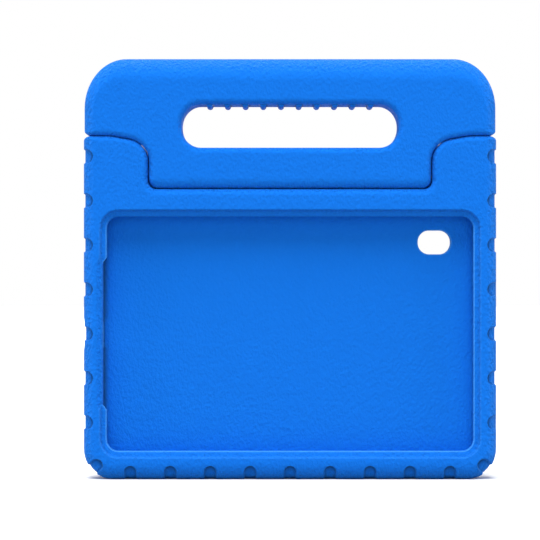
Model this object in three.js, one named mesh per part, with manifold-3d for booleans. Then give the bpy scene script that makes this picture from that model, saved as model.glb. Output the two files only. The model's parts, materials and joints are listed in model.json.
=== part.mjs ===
// A child's tablet case of moulded foam: a thick shell that holds a small tablet behind a
// lipped window, and a carrying handle that turns on two pivots in the shell's ears, so that
// it folds back as a stand. Millimetres, +Z up, the front faces -Y, and the origin is the
// middle of the bottom edge that the case stands on.

import * as THREE from 'three';
import { mergeVertices } from 'three/addons/utils/BufferGeometryUtils.js';
import Module from 'manifold-3d';

const wasm = await Module();
wasm.setup();

// Outer sizes of shell and handle
const SHELL_HALF_WIDTH = 112.3;
const HANDLE_SIDE_STEP = 0.4;
const HALF_THICKNESS = 13;
const SHOULDER_HEIGHT = 186.7;
const HANDLE_RISE = 42.3;
const BOTTOM_CORNER_ACROSS = 13.1;
const BOTTOM_CORNER_UP = 16.6;
const HANDLE_CORNER_ACROSS = 22.9;
const HANDLE_CORNER_DOWN = 27.2;

// Seam between handle and shell
const EAR_WIDTH = 35.3;
const TONGUE_DEPTH = 28.5;
const SHOULDER_SLOPE_SHARE = 4 / 7;
const SHOULDER_SLOPE_DROP = 3.7;
const SHOULDER_BEND_RADIUS = 33;
const TONGUE_ROOT_RADIUS = 12;
const NOTCH_CORNER_RADIUS = 4.2;
const TONGUE_CORNER_RADIUS = 5.2;
const SHOULDER_END_RADIUS = 2;
const SEAM_GAP = 0.5;

// Edge roundings, each as its width across the front face and its depth down the wall
const SIDE_EDGE = { across: 6.5, deep: 8 };
const BOTTOM_EDGE = { across: 9.3, deep: 6.5 };
const HANDLE_TOP_EDGE = { across: 12.8, deep: 12.8 };
const SHOULDER_EDGE = { across: 3, deep: 3 };
const TONGUE_SIDE_EDGE = { across: 2.4, deep: 2.4 };
const TONGUE_END_EDGE = { across: 5.4, deep: 5.4 };
const NOTCH_FLOOR_EDGE = { across: 4.2, deep: 3.6 };
const NOTCH_SIDE_EDGE = { across: 2, deep: 2 };

// Pivot of the handle
const PIVOT_ABOVE_NOTCH = 9.5;
const FOLD_CLEARANCE = 0.4;
const BARREL_BELOW_FACES = 0.6;
const BARREL_END_RADIUS = 4.2;
const PIN_RADIUS = 3;
const PIN_IN_EAR = 19;
const PIN_IN_TONGUE = 13.5;
const PIN_FLANGE_RADIUS = 6;
const PIN_FLANGE_THICKNESS = 2.4;
const PIN_CHAMFER = 0.8;
const BUSH_WALL = 1.8;
const BUSH_FLANGE_RADIUS = 6.6;
const BUSH_FLANGE_THICKNESS = 2;
const SEAT_CLEARANCE = 0.3;

// Grip hole and its finger ridges
const GRIP_HALF_LENGTH = 58.9;
const GRIP_HALF_HEIGHT = 11.65;
const GRIP_ABOVE_SHOULDER = 5.2;
const GRIP_END_ACROSS = 10.4;
const GRIP_EDGE = { across: 3.4, deep: 3.6 };
const RIDGE_COUNT = 10;
const RIDGE_PITCH = 9.72;
const RIDGE_HALF_BASE = 1.8;
const RIDGE_HALF_TIP = 1.1;
const RIDGE_HEIGHT = 1.7;
const RIDGE_TIP_RADIUS = 0.9;
const RIDGE_END_SLOPE = 1;

// Tablet pocket, the window in front of it and the lip between them
const SIDE_WALL = 10.4;
const POCKET_HEIGHT = 135.3;
const POCKET_DEPTH = 8.5;
const POCKET_CORNER_RADIUS = 7;
const FLOOR_WALL = 11.5;
const LIP_OVERLAP_SIDE = 2.5;
const LIP_OVERLAP_END = 4.1;
const LIP_SETBACK = 4.2;
const WINDOW_CORNER_RADIUS = 6.3;
const WINDOW_FRAME_WIDTH = 3.9;
const WINDOW_STEP = { across: 1.3, deep: 1.9 };
const WINDOW_SLOPE = { across: 2.2, deep: 0.7 };
const BUTTON_RELIEF_HALF_HEIGHT = 38.25;
const BUTTON_RELIEF_SHOULDER = 3.3;
const BUTTON_RELIEF_BEVEL = { across: 3, deep: 2.6 };
const BUTTON_RELIEF_RADIUS = 1.5;
const LIP_ROUND = 0.4;

// Back of the shell
const BACK_RECESS_DEPTH = 3.5;
const BACK_RECESS_MARGIN_SIDE = 19;
const BACK_RECESS_MARGIN_END = 18;
const BACK_RECESS_RADIUS = 12;
const BACK_RECESS_SLOPE = 3;
const CAMERA_HALF_LENGTH = 9;
const CAMERA_HALF_HEIGHT = 6.5;
const CAMERA_FROM_POCKET_SIDE = 23;
const CAMERA_FROM_POCKET_TOP = 18;
const CAMERA_FLARE = 2.5;
const PORT_HALF_LENGTH = 8;
const PORT_HALF_HEIGHT = 3.2;
const PORT_FLARE = 1.4;

// Shallow grip grooves around the shell's rim
const GROOVE_DEPTH = 0.8;
const GROOVE_MOUTH_SLOPE = 0.8;
const SIDE_GROOVE_COUNT = 7;
const SIDE_GROOVE_FIRST = 30.9;
const SIDE_GROOVE_TOP_MARGIN = 11.2;
const SIDE_GROOVE_HALF_WIDTH = 3.4;
const SIDE_GROOVE_REACH = 5.1;
const RIGHT_GROOVES_WITH_STRIP = [0, 3];
const BOTTOM_GROOVE_COUNT = 9;
const BOTTOM_GROOVE_SIDE_MARGIN = 25.1;
const BOTTOM_GROOVE_HALF_WIDTH = 3.15;
const BOTTOM_GROOVE_REACH = 7.2;
const CORNER_GROOVE_HALF_WIDTH = 3.4;
const CORNER_GROOVE_REACH = 7.2;
const STRIP_HALF_WIDTH = 5;

// Fineness of the curved stretches
const ARC_STEP_DEG = 18;
const EDGE_ROUND_STEPS = 4;
const ROUND_SIDES = 20;
const GROOVE_ARC_STEP_DEG = 30;
const SWEEP_SIDES = 48;
const TURNED_BEND_STEPS = 3;
const MIN_CORNER_RADIUS = 0.3;
const MERGE_DISTANCE = 1e-4;
const THROUGH = 3;

// Places worked out from the sizes above
const halfGap = SEAM_GAP / 2;
const handleHalfWidth = SHELL_HALF_WIDTH - HANDLE_SIDE_STEP;
const tongueHalfWidth = SHELL_HALF_WIDTH - EAR_WIDTH;
const pocketHalfWidth = SHELL_HALF_WIDTH - SIDE_WALL;
const notchFloor = SHOULDER_HEIGHT - TONGUE_DEPTH;
const pivotHeight = notchFloor + PIVOT_ABOVE_NOTCH;
const handleTop = SHOULDER_HEIGHT + HANDLE_RISE;
const pocketTop = FLOOR_WALL + POCKET_HEIGHT;
const pocketMiddle = FLOOR_WALL + POCKET_HEIGHT / 2;
const pocketFront = -HALF_THICKNESS + LIP_SETBACK;
const pocketFloor = pocketFront + POCKET_DEPTH;
const gripMiddle = SHOULDER_HEIGHT + GRIP_ABOVE_SHOULDER;
const sideGrooveSpan = SHOULDER_HEIGHT - SIDE_GROOVE_TOP_MARGIN - SIDE_GROOVE_FIRST;
const sideGroovePitch = sideGrooveSpan / (SIDE_GROOVE_COUNT - 1);
const bottomGrooveSpan = 2 * (SHELL_HALF_WIDTH - BOTTOM_GROOVE_SIDE_MARGIN);
const bottomGroovePitch = bottomGrooveSpan / (BOTTOM_GROOVE_COUNT - 1);
const portDepth = (pocketFront + pocketFloor) / 2;

// Section of a rounded edge at an angle from 0 at the face to 90 degrees at the wall
function roundedSection(edges, side, halfThickness, baseInsets, degrees) {
  const angle = THREE.MathUtils.degToRad(degrees);
  const insets = edges.map((edge, i) => baseInsets[i] + edge.across * (1 - Math.sin(angle)));
  const depths = edges.map((edge) => side * (halfThickness - edge.deep * (1 - Math.cos(angle))));
  return { insets, depths };
}

// Points of one rounded corner of an offset outline, from its incoming to its outgoing edge
function cornerArc(corners, i, section) {
  const count = corners.length;
  const previous = (i + count - 1) % count;
  const here = corners[i];
  const before = corners[previous];
  const after = corners[(i + 1) % count];
  const insetIn = section.insets[previous];
  const insetOut = section.insets[i];
  const depthIn = section.depths[previous];
  const depthOut = section.depths[i];
  const along = new THREE.Vector2(here.x - before.x, here.z - before.z).normalize();
  const onward = new THREE.Vector2(after.x - here.x, after.z - here.z).normalize();
  const cross = along.cross(onward);
  const turn = Math.atan2(Math.abs(cross), along.dot(onward));
  const sense = Math.sign(cross);
  const vertexX = here.x + (onward.x * insetIn - along.x * insetOut) / cross;
  const vertexZ = here.z + (onward.y * insetIn - along.y * insetOut) / cross;
  const reach = Math.tan(turn / 2);
  const radiusIn = Math.max((here.rIn ?? here.r) - sense * insetOut, MIN_CORNER_RADIUS);
  const radiusOut = Math.max((here.rOut ?? here.r) - sense * insetIn, MIN_CORNER_RADIUS);
  const stepDegrees = here.arcStep ?? ARC_STEP_DEG;
  const steps = Math.max(1, Math.ceil(THREE.MathUtils.radToDeg(turn) / stepDegrees));
  const points = [];
  for (let k = 0; k <= steps; k += 1) {
    const swept = (turn * k) / steps;
    const forward = (1 - Math.cos(swept)) / Math.sin(turn);
    const back = reach - Math.sin(swept) + forward * Math.cos(turn);
    points.push(new THREE.Vector3(
      vertexX - along.x * back * radiusIn + onward.x * forward * radiusOut,
      depthIn + ((depthOut - depthIn) * k) / steps,
      vertexZ - along.y * back * radiusIn + onward.y * forward * radiusOut,
    ));
  }
  return points;
}

// Offset outline with its corners rounded, as one ring of points in space
function ring(corners, section) {
  return corners.flatMap((corner, i) => cornerArc(corners, i, section));
}

// Closed body through a row of rings, from the front one to the back one
function loft(corners, sections) {
  const rings = sections.map((section) => ring(corners, section));
  const count = rings[0].length;
  const positions = rings.flat().flatMap((point) => [point.x, point.y, point.z]);
  const index = [];
  for (let row = 0; row + 1 < rings.length; row += 1) {
    for (let i = 0; i < count; i += 1) {
      const next = (i + 1) % count;
      const a = row * count + i;
      const b = row * count + next;
      index.push(a, a + count, b + count, a, b + count, b);
    }
  }
  const flat = (points) => points.map((point) => new THREE.Vector2(point.x, point.z));
  const last = (rings.length - 1) * count;
  for (const [a, b, c] of THREE.ShapeUtils.triangulateShape(flat(rings[0]), [])) {
    index.push(a, b, c);
  }
  for (const [a, b, c] of THREE.ShapeUtils.triangulateShape(flat(rings.at(-1)), [])) {
    index.push(last + a, last + c, last + b);
  }
  const geometry = new THREE.BufferGeometry();
  geometry.setAttribute('position', new THREE.Float32BufferAttribute(positions, 3));
  geometry.setIndex(index);
  return geometry;
}

// Solid of a closed geometry for cutting and joining, with its faces turned outwards
function solid(geometry) {
  geometry.deleteAttribute('normal');
  geometry.deleteAttribute('uv');
  const merged = mergeVertices(geometry, MERGE_DISTANCE);
  const place = merged.attributes.position;
  const corners = merged.index.array;
  const triangles = [];
  let volume = 0;
  for (let i = 0; i < corners.length; i += 3) {
    const [a, b, c] = [corners[i], corners[i + 1], corners[i + 2]];
    if (a === b || b === c || c === a) continue;
    triangles.push([a, b, c]);
    const [p, q, r] = [a, b, c].map((corner) => new THREE.Vector3().fromBufferAttribute(place, corner));
    volume += p.dot(q.cross(r));
  }
  const outward = volume > 0 ? triangles : triangles.map(([a, b, c]) => [a, c, b]);
  return new wasm.Manifold(new wasm.Mesh({
    numProp: 3,
    vertProperties: new Float32Array(place.array),
    triVerts: new Uint32Array(outward.flat()),
  }));
}

// Slab with both of its face edges rounded, each edge of the outline by its own amount
function roundedSlab(corners, edges, halfThickness, baseInsets) {
  const sections = [];
  for (let k = 0; k <= EDGE_ROUND_STEPS; k += 1) {
    const degrees = (90 * k) / EDGE_ROUND_STEPS;
    sections.push(roundedSection(edges, -1, halfThickness, baseInsets, degrees));
  }
  for (let k = EDGE_ROUND_STEPS; k >= 0; k -= 1) {
    const degrees = (90 * k) / EDGE_ROUND_STEPS;
    sections.push(roundedSection(edges, 1, halfThickness, baseInsets, degrees));
  }
  return loft(corners, sections);
}

// Straight prism of an outline between two depths
function prism(corners, front, back) {
  const insets = corners.map(() => 0);
  return loft(corners, [
    { insets, depths: corners.map(() => front) },
    { insets, depths: corners.map(() => back) },
  ]);
}

// Hole right through a slab, which flares out to both faces in a rounded edge
function roundedHole(corners, edge, halfThickness) {
  const flare = [{ grow: edge.across, depth: halfThickness + THROUGH }];
  for (let k = 0; k <= EDGE_ROUND_STEPS; k += 1) {
    const angle = (Math.PI / 2) * (k / EDGE_ROUND_STEPS);
    flare.push({
      grow: edge.across * (1 - Math.sin(angle)),
      depth: halfThickness - edge.deep * (1 - Math.cos(angle)),
    });
  }
  const front = flare.map((step) => ({ grow: step.grow, depth: -step.depth }));
  return steppedPrism(corners, [...front, ...flare.reverse()]);
}

// Outline grown by each step's amount at that step's depth
function steppedPrism(corners, steps) {
  return loft(corners, steps.map((step) => ({
    insets: corners.map(() => -step.grow),
    depths: corners.map(() => step.depth),
  })));
}

// Rectangle about a middle, as corners that run anticlockwise seen from the front
function rectangle(middleX, middleZ, halfWidth, halfHeight, radiusAcross, radiusUp) {
  const across = radiusAcross;
  const up = radiusUp ?? radiusAcross;
  return [
    { x: middleX - halfWidth, z: middleZ - halfHeight, rIn: up, rOut: across },
    { x: middleX + halfWidth, z: middleZ - halfHeight, rIn: across, rOut: up },
    { x: middleX + halfWidth, z: middleZ + halfHeight, rIn: up, rOut: across },
    { x: middleX - halfWidth, z: middleZ + halfHeight, rIn: across, rOut: up },
  ];
}

// Turned body about the X axis, from points of distance along it and radius
function turned(profile, sides) {
  const points = profile.map(([x, radius]) => new THREE.Vector2(radius, -x));
  return new THREE.LatheGeometry(points, sides).rotateZ(Math.PI / 2);
}

function block(x0, x1, y0, y1, z0, z1) {
  const geometry = new THREE.BoxGeometry(x1 - x0, y1 - y0, z1 - z0);
  return geometry.translate((x0 + x1) / 2, (y0 + y1) / 2, (z0 + z1) / 2);
}

function mirrored(corners) {
  return corners.map((corner) => ({
    ...corner,
    x: -corner.x,
    rIn: corner.rOut,
    rOut: corner.rIn,
  })).reverse();
}

// Right half of the seam, from the shoulder's end to the notch's corner
const seamOuter = {
  x: tongueHalfWidth + SHOULDER_SLOPE_SHARE * EAR_WIDTH,
  z: SHOULDER_HEIGHT,
  r: SHOULDER_BEND_RADIUS,
};
const seamRoot = { x: tongueHalfWidth, z: SHOULDER_HEIGHT - SHOULDER_SLOPE_DROP, r: TONGUE_ROOT_RADIUS };
const seamNotch = { x: tongueHalfWidth, z: notchFloor, r: NOTCH_CORNER_RADIUS };

// Shell outline, anticlockwise from its bottom right corner, with the edge that leaves each corner
const shellRight = [
  { x: SHELL_HALF_WIDTH, z: 0, rIn: BOTTOM_CORNER_ACROSS, rOut: BOTTOM_CORNER_UP },
  { x: SHELL_HALF_WIDTH, z: SHOULDER_HEIGHT, r: SHOULDER_END_RADIUS },
  seamOuter,
  seamRoot,
  seamNotch,
];
const shellCorners = [...shellRight, ...mirrored(shellRight)];
const shellEdges = [
  SIDE_EDGE, SHOULDER_EDGE, SHOULDER_EDGE, NOTCH_SIDE_EDGE, NOTCH_FLOOR_EDGE,
  NOTCH_SIDE_EDGE, SHOULDER_EDGE, SHOULDER_EDGE, SIDE_EDGE, BOTTOM_EDGE,
];
const shellInsets = [0, halfGap, halfGap, halfGap, halfGap, halfGap, halfGap, halfGap, 0, 0];

// Handle outline, anticlockwise from the right end of its tongue
const handleRight = [
  { x: tongueHalfWidth, z: notchFloor, r: TONGUE_CORNER_RADIUS },
  seamRoot,
  seamOuter,
  { x: handleHalfWidth, z: SHOULDER_HEIGHT, r: SHOULDER_END_RADIUS },
  { x: handleHalfWidth, z: handleTop, rIn: HANDLE_CORNER_DOWN, rOut: HANDLE_CORNER_ACROSS },
];
const handleCorners = [...handleRight, ...mirrored(handleRight)];
const handleEdges = [
  TONGUE_SIDE_EDGE, SHOULDER_EDGE, SHOULDER_EDGE, SIDE_EDGE, HANDLE_TOP_EDGE,
  SIDE_EDGE, SHOULDER_EDGE, SHOULDER_EDGE, TONGUE_SIDE_EDGE, TONGUE_END_EDGE,
];
const handleInsets = [halfGap, halfGap, halfGap, 0, 0, 0, halfGap, halfGap, halfGap, halfGap];

// One groove's outline: a slot with a round end that runs inwards from a point of the rim
function grooveOutline(rimX, rimZ, inwardX, inwardZ, halfWidth, reach) {
  const outside = THROUGH;
  const mouth = GROOVE_DEPTH;
  const corner = (along, across, r) => ({
    x: rimX + inwardX * along - inwardZ * across,
    z: rimZ + inwardZ * along + inwardX * across,
    r,
    arcStep: GROOVE_ARC_STEP_DEG,
  });
  const endRadius = halfWidth - MIN_CORNER_RADIUS;
  const flare = halfWidth + GROOVE_MOUTH_SLOPE * (1 + outside / mouth);
  return [
    corner(-outside, -flare, 0),
    corner(mouth, -halfWidth, 0),
    corner(reach, -halfWidth, endRadius),
    corner(reach, halfWidth, endRadius),
    corner(mouth, halfWidth, 0),
    corner(-outside, flare, 0),
  ];
}

// A groove's prisms: one right through, or a front and a back one with a strip left between them
function groovePrisms(outline, withStrip) {
  const wide = HALF_THICKNESS + THROUGH;
  if (!withStrip) return [solid(prism(outline, -wide, wide))];
  return [
    solid(prism(outline, -wide, -STRIP_HALF_WIDTH)),
    solid(prism(outline, STRIP_HALF_WIDTH, wide)),
  ];
}

// All grooves of the rim: prisms that leave the core inside the groove depth standing
function rimGrooves() {
  const prisms = [];
  for (let k = 0; k < SIDE_GROOVE_COUNT; k += 1) {
    const z = SIDE_GROOVE_FIRST + sideGroovePitch * k;
    for (const side of [-1, 1]) {
      const outline = grooveOutline(
        side * SHELL_HALF_WIDTH, z, -side, 0, SIDE_GROOVE_HALF_WIDTH, SIDE_GROOVE_REACH,
      );
      prisms.push(...groovePrisms(outline, side > 0 && RIGHT_GROOVES_WITH_STRIP.includes(k)));
    }
  }
  for (let k = 0; k < BOTTOM_GROOVE_COUNT; k += 1) {
    const x = bottomGroovePitch * (k - (BOTTOM_GROOVE_COUNT - 1) / 2);
    const outline = grooveOutline(x, 0, 0, 1, BOTTOM_GROOVE_HALF_WIDTH, BOTTOM_GROOVE_REACH);
    prisms.push(...groovePrisms(outline, true));
  }
  for (const side of [-1, 1]) {
    const rimX = side * (SHELL_HALF_WIDTH - BOTTOM_CORNER_ACROSS * (1 - Math.SQRT1_2));
    const rimZ = BOTTOM_CORNER_UP * (1 - Math.SQRT1_2);
    const outline = grooveOutline(
      rimX, rimZ, -side * Math.SQRT1_2, Math.SQRT1_2, CORNER_GROOVE_HALF_WIDTH, CORNER_GROOVE_REACH,
    );
    prisms.push(...groovePrisms(outline, false));
  }
  const coreEdges = shellEdges.map((edge) => ({
    across: edge.across - GROOVE_DEPTH,
    deep: edge.deep - GROOVE_DEPTH,
  }));
  const coreInsets = shellInsets.map((inset) => inset + GROOVE_DEPTH);
  const core = roundedSlab(shellCorners, coreEdges, HALF_THICKNESS - GROOVE_DEPTH, coreInsets);
  return wasm.Manifold.union(prisms).subtract(solid(core));
}

// Outline of all that the handle could fill, grown past its outer edges
const outerX = SHELL_HALF_WIDTH + THROUGH;
const sweepRight = [
  { x: tongueHalfWidth, z: notchFloor, r: NOTCH_CORNER_RADIUS },
  seamRoot,
  seamOuter,
  { x: outerX, z: SHOULDER_HEIGHT, r: 0 },
  { x: outerX, z: handleTop, r: 0 },
];
const sweepCorners = [...sweepRight, ...mirrored(sweepRight)];
const sweepRootCorner = sweepCorners.indexOf(seamRoot);
const sweepOuterCorner = sweepCorners.indexOf(seamOuter);

// Cylinder on the pivot line between two walls, with its ends rounded
function roundEndedCylinder(wall, radius, endRadius) {
  const bend = [];
  for (let k = 0; k <= TURNED_BEND_STEPS; k += 1) {
    const angle = (Math.PI / 2) * (1 - k / TURNED_BEND_STEPS);
    bend.push([
      wall - endRadius * (1 - Math.cos(angle)),
      radius - endRadius * (1 - Math.sin(angle)),
    ]);
  }
  const leftBend = bend.map(([x, bendRadius]) => [-x, bendRadius]).reverse();
  return turned([[-wall, 0], ...leftBend, ...bend, [wall, 0]], SWEEP_SIDES)
    .translate(0, 0, pivotHeight);
}

// Room that the handle sweeps as it folds back by a quarter turn, seen from its pivot line
function foldRoom() {
  const insets = sweepCorners.map(() => -halfGap);
  const reach = HALF_THICKNESS + FOLD_CLEARANCE;
  const front = { insets, depths: insets.map(() => -reach) };
  const back = { insets, depths: insets.map(() => reach) };
  const folded = loft(sweepCorners, [front, back])
    .translate(0, 0, -pivotHeight)
    .rotateX(-Math.PI / 2)
    .translate(0, 0, pivotHeight);

  const crest = [sweepRootCorner, sweepOuterCorner]
    .flatMap((corner) => cornerArc(sweepCorners, corner, front))
    .map((point) => [point.x, point.z - pivotHeight]);
  const wall = tongueHalfWidth + halfGap;
  const far = handleTop;
  const overEar = [
    [wall, far],
    ...crest,
    [outerX, crest.at(-1)[1]],
    [outerX, far],
    [wall, far],
  ];
  const quarter = solid(block(-outerX, outerX, 0, far, pivotHeight, pivotHeight + far));
  const overEarLeft = overEar.map(([x, radius]) => [-x, radius]);
  const overRight = solid(turned(overEar, SWEEP_SIDES).translate(0, 0, pivotHeight));
  const overLeft = solid(turned(overEarLeft, SWEEP_SIDES).translate(0, 0, pivotHeight));
  const over = overRight.add(overLeft).intersect(quarter);

  const tongueReach = Math.hypot(
    HALF_THICKNESS - TONGUE_END_EDGE.deep,
    PIVOT_ABOVE_NOTCH - halfGap - TONGUE_END_EDGE.across,
  ) + Math.max(TONGUE_END_EDGE.deep, TONGUE_END_EDGE.across);
  const troughRadius = tongueReach + FOLD_CLEARANCE;
  const trough = roundEndedCylinder(wall, troughRadius, NOTCH_CORNER_RADIUS);
  return solid(folded).add(over).add(solid(trough));
}

// Pivot pin along +X, with the ear's inner wall at 0
const pinProfile = [
  [-PIN_IN_TONGUE, 0],
  [-PIN_IN_TONGUE, PIN_RADIUS - PIN_CHAMFER],
  [-PIN_IN_TONGUE + PIN_CHAMFER, PIN_RADIUS],
  [0, PIN_RADIUS],
  [0, PIN_FLANGE_RADIUS],
  [PIN_FLANGE_THICKNESS, PIN_FLANGE_RADIUS],
  [PIN_FLANGE_THICKNESS, PIN_RADIUS],
  [PIN_IN_EAR - PIN_CHAMFER, PIN_RADIUS],
  [PIN_IN_EAR, PIN_RADIUS - PIN_CHAMFER],
  [PIN_IN_EAR, 0],
];

// Hole in the ear that the pin is pressed into
const pinSeatProfile = [
  [-halfGap, 0],
  [-halfGap, PIN_FLANGE_RADIUS + SEAT_CLEARANCE],
  [PIN_FLANGE_THICKNESS + SEAT_CLEARANCE, PIN_FLANGE_RADIUS + SEAT_CLEARANCE],
  [PIN_FLANGE_THICKNESS + SEAT_CLEARANCE, PIN_RADIUS + SEAT_CLEARANCE],
  [PIN_IN_EAR + SEAT_CLEARANCE, PIN_RADIUS + SEAT_CLEARANCE],
  [PIN_IN_EAR + SEAT_CLEARANCE, 0],
];

// Bush that the pin turns in, with the tongue's side face at 0
const bushBore = PIN_RADIUS + SEAT_CLEARANCE;
const bushRadius = bushBore + BUSH_WALL;
const bushFloor = PIN_IN_TONGUE - SEAM_GAP + SEAT_CLEARANCE;
const bushProfile = [
  [-bushFloor - BUSH_WALL, 0],
  [-bushFloor - BUSH_WALL, bushRadius],
  [-BUSH_FLANGE_THICKNESS, bushRadius],
  [-BUSH_FLANGE_THICKNESS, BUSH_FLANGE_RADIUS],
  [0, BUSH_FLANGE_RADIUS],
  [0, bushBore],
  [-bushFloor, bushBore],
  [-bushFloor, 0],
];

// Hole in the tongue's end that the bush is pressed into
const bushSeatProfile = [
  [-bushFloor - BUSH_WALL - SEAT_CLEARANCE, 0],
  [-bushFloor - BUSH_WALL - SEAT_CLEARANCE, bushRadius + SEAT_CLEARANCE],
  [-BUSH_FLANGE_THICKNESS - SEAT_CLEARANCE, bushRadius + SEAT_CLEARANCE],
  [-BUSH_FLANGE_THICKNESS - SEAT_CLEARANCE, BUSH_FLANGE_RADIUS + SEAT_CLEARANCE],
  [halfGap, BUSH_FLANGE_RADIUS + SEAT_CLEARANCE],
  [halfGap, 0],
];

const earWall = tongueHalfWidth + halfGap;
const tongueWall = tongueHalfWidth - halfGap;

// Pair of bodies on the pivot line: at the right as made, at the left turned half round
function pivotPair(profile, wall) {
  const right = turned(profile, ROUND_SIDES).translate(wall, 0, pivotHeight);
  const left = turned(profile, ROUND_SIDES).rotateZ(Math.PI).translate(-wall, 0, pivotHeight);
  return solid(right).add(solid(left));
}

function shellSolid() {
  const body = solid(roundedSlab(shellCorners, shellEdges, HALF_THICKNESS, shellInsets));

  const windowHalfWidth = pocketHalfWidth - LIP_OVERLAP_SIDE;
  const windowHalfHeight = POCKET_HEIGHT / 2 - LIP_OVERLAP_END;
  const windowCorners = rectangle(0, pocketMiddle, windowHalfWidth, windowHalfHeight, WINDOW_CORNER_RADIUS);
  const stepGrow = WINDOW_FRAME_WIDTH - WINDOW_STEP.across;
  const slopeGrow = stepGrow - WINDOW_SLOPE.across;
  const slopeEnd = -HALF_THICKNESS + WINDOW_STEP.deep + WINDOW_SLOPE.deep;
  const window = steppedPrism(windowCorners, [
    { grow: WINDOW_FRAME_WIDTH, depth: -HALF_THICKNESS - THROUGH },
    { grow: WINDOW_FRAME_WIDTH, depth: -HALF_THICKNESS },
    { grow: WINDOW_FRAME_WIDTH - LIP_ROUND, depth: -HALF_THICKNESS + LIP_ROUND },
    { grow: stepGrow, depth: -HALF_THICKNESS + WINDOW_STEP.deep },
    { grow: slopeGrow, depth: slopeEnd },
    { grow: 0, depth: slopeEnd + LIP_ROUND },
    { grow: 0, depth: pocketFloor - THROUGH },
  ]);

  const pocket = prism(
    rectangle(0, pocketMiddle, pocketHalfWidth, POCKET_HEIGHT / 2, POCKET_CORNER_RADIUS),
    pocketFront,
    pocketFloor,
  );

  const reliefWide = BUTTON_RELIEF_HALF_HEIGHT + BUTTON_RELIEF_SHOULDER;
  const reliefCorners = [
    { x: 0, z: pocketMiddle - reliefWide, r: 0 },
    { x: 0, z: pocketMiddle + reliefWide, r: 0 },
    { x: -windowHalfWidth, z: pocketMiddle + reliefWide, r: BUTTON_RELIEF_RADIUS },
    { x: -pocketHalfWidth, z: pocketMiddle + BUTTON_RELIEF_HALF_HEIGHT, r: BUTTON_RELIEF_RADIUS },
    { x: -pocketHalfWidth, z: pocketMiddle - BUTTON_RELIEF_HALF_HEIGHT, r: BUTTON_RELIEF_RADIUS },
    { x: -windowHalfWidth, z: pocketMiddle - reliefWide, r: BUTTON_RELIEF_RADIUS },
  ];
  const relief = steppedPrism(reliefCorners, [
    { grow: BUTTON_RELIEF_BEVEL.across, depth: -HALF_THICKNESS - THROUGH },
    { grow: BUTTON_RELIEF_BEVEL.across, depth: -HALF_THICKNESS },
    { grow: 0, depth: -HALF_THICKNESS + BUTTON_RELIEF_BEVEL.deep },
    { grow: 0, depth: pocketFloor - THROUGH },
  ]);

  const backHalfHeight = (notchFloor - 2 * BACK_RECESS_MARGIN_END) / 2;
  const backCorners = rectangle(
    0,
    notchFloor / 2,
    SHELL_HALF_WIDTH - BACK_RECESS_MARGIN_SIDE,
    backHalfHeight,
    BACK_RECESS_RADIUS,
  );
  const backRecess = steppedPrism(backCorners, [
    { grow: 0, depth: HALF_THICKNESS - BACK_RECESS_DEPTH },
    { grow: BACK_RECESS_SLOPE, depth: HALF_THICKNESS },
    { grow: BACK_RECESS_SLOPE, depth: HALF_THICKNESS + THROUGH },
  ]);

  const cameraCorners = rectangle(
    pocketHalfWidth - CAMERA_FROM_POCKET_SIDE,
    pocketTop - CAMERA_FROM_POCKET_TOP,
    CAMERA_HALF_LENGTH,
    CAMERA_HALF_HEIGHT,
    CAMERA_HALF_HEIGHT - MIN_CORNER_RADIUS,
  );
  const recessFace = HALF_THICKNESS - BACK_RECESS_DEPTH;
  const camera = steppedPrism(cameraCorners, [
    { grow: 0, depth: pocketFloor - THROUGH },
    { grow: 0, depth: recessFace - CAMERA_FLARE },
    { grow: CAMERA_FLARE, depth: recessFace },
    { grow: CAMERA_FLARE, depth: HALF_THICKNESS },
  ]);

  const port = steppedPrism(
    rectangle(
      portDepth, pocketMiddle, PORT_HALF_HEIGHT, PORT_HALF_LENGTH, PORT_HALF_HEIGHT - MIN_CORNER_RADIUS,
    ),
    [
      { grow: 0, depth: pocketHalfWidth - THROUGH },
      { grow: 0, depth: SHELL_HALF_WIDTH - PORT_FLARE },
      { grow: PORT_FLARE, depth: SHELL_HALF_WIDTH + GROOVE_DEPTH },
      { grow: PORT_FLARE, depth: SHELL_HALF_WIDTH + THROUGH },
    ],
  ).rotateZ(Math.PI / 2);

  return [window, pocket, relief, backRecess, camera, port]
    .reduce((rest, cutter) => rest.subtract(solid(cutter)), body)
    .subtract(rimGrooves())
    .subtract(foldRoom())
    .subtract(pivotPair(pinSeatProfile, earWall));
}

// Finger ridges that hang from the top of the grip hole
function fingerRidges() {
  const top = gripMiddle + GRIP_HALF_HEIGHT;
  const reach = HALF_THICKNESS - GRIP_EDGE.deep;
  const ridges = [];
  for (let k = 0; k < RIDGE_COUNT; k += 1) {
    const x = RIDGE_PITCH * (k - (RIDGE_COUNT - 1) / 2);
    const corners = [
      { x: x - RIDGE_HALF_BASE, z: top, r: 0 },
      { x: x - RIDGE_HALF_TIP, z: top - RIDGE_HEIGHT, r: RIDGE_TIP_RADIUS },
      { x: x + RIDGE_HALF_TIP, z: top - RIDGE_HEIGHT, r: RIDGE_TIP_RADIUS },
      { x: x + RIDGE_HALF_BASE, z: top, r: 0 },
      { x: x + RIDGE_HALF_BASE, z: top + RIDGE_HEIGHT, r: 0 },
      { x: x - RIDGE_HALF_BASE, z: top + RIDGE_HEIGHT, r: 0 },
    ];
    ridges.push(solid(steppedPrism(corners, [
      { grow: -RIDGE_END_SLOPE / 2, depth: -reach - RIDGE_END_SLOPE },
      { grow: 0, depth: -reach + RIDGE_END_SLOPE },
      { grow: 0, depth: reach - RIDGE_END_SLOPE },
      { grow: -RIDGE_END_SLOPE / 2, depth: reach + RIDGE_END_SLOPE },
    ])));
  }
  return wasm.Manifold.union(ridges);
}

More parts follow.
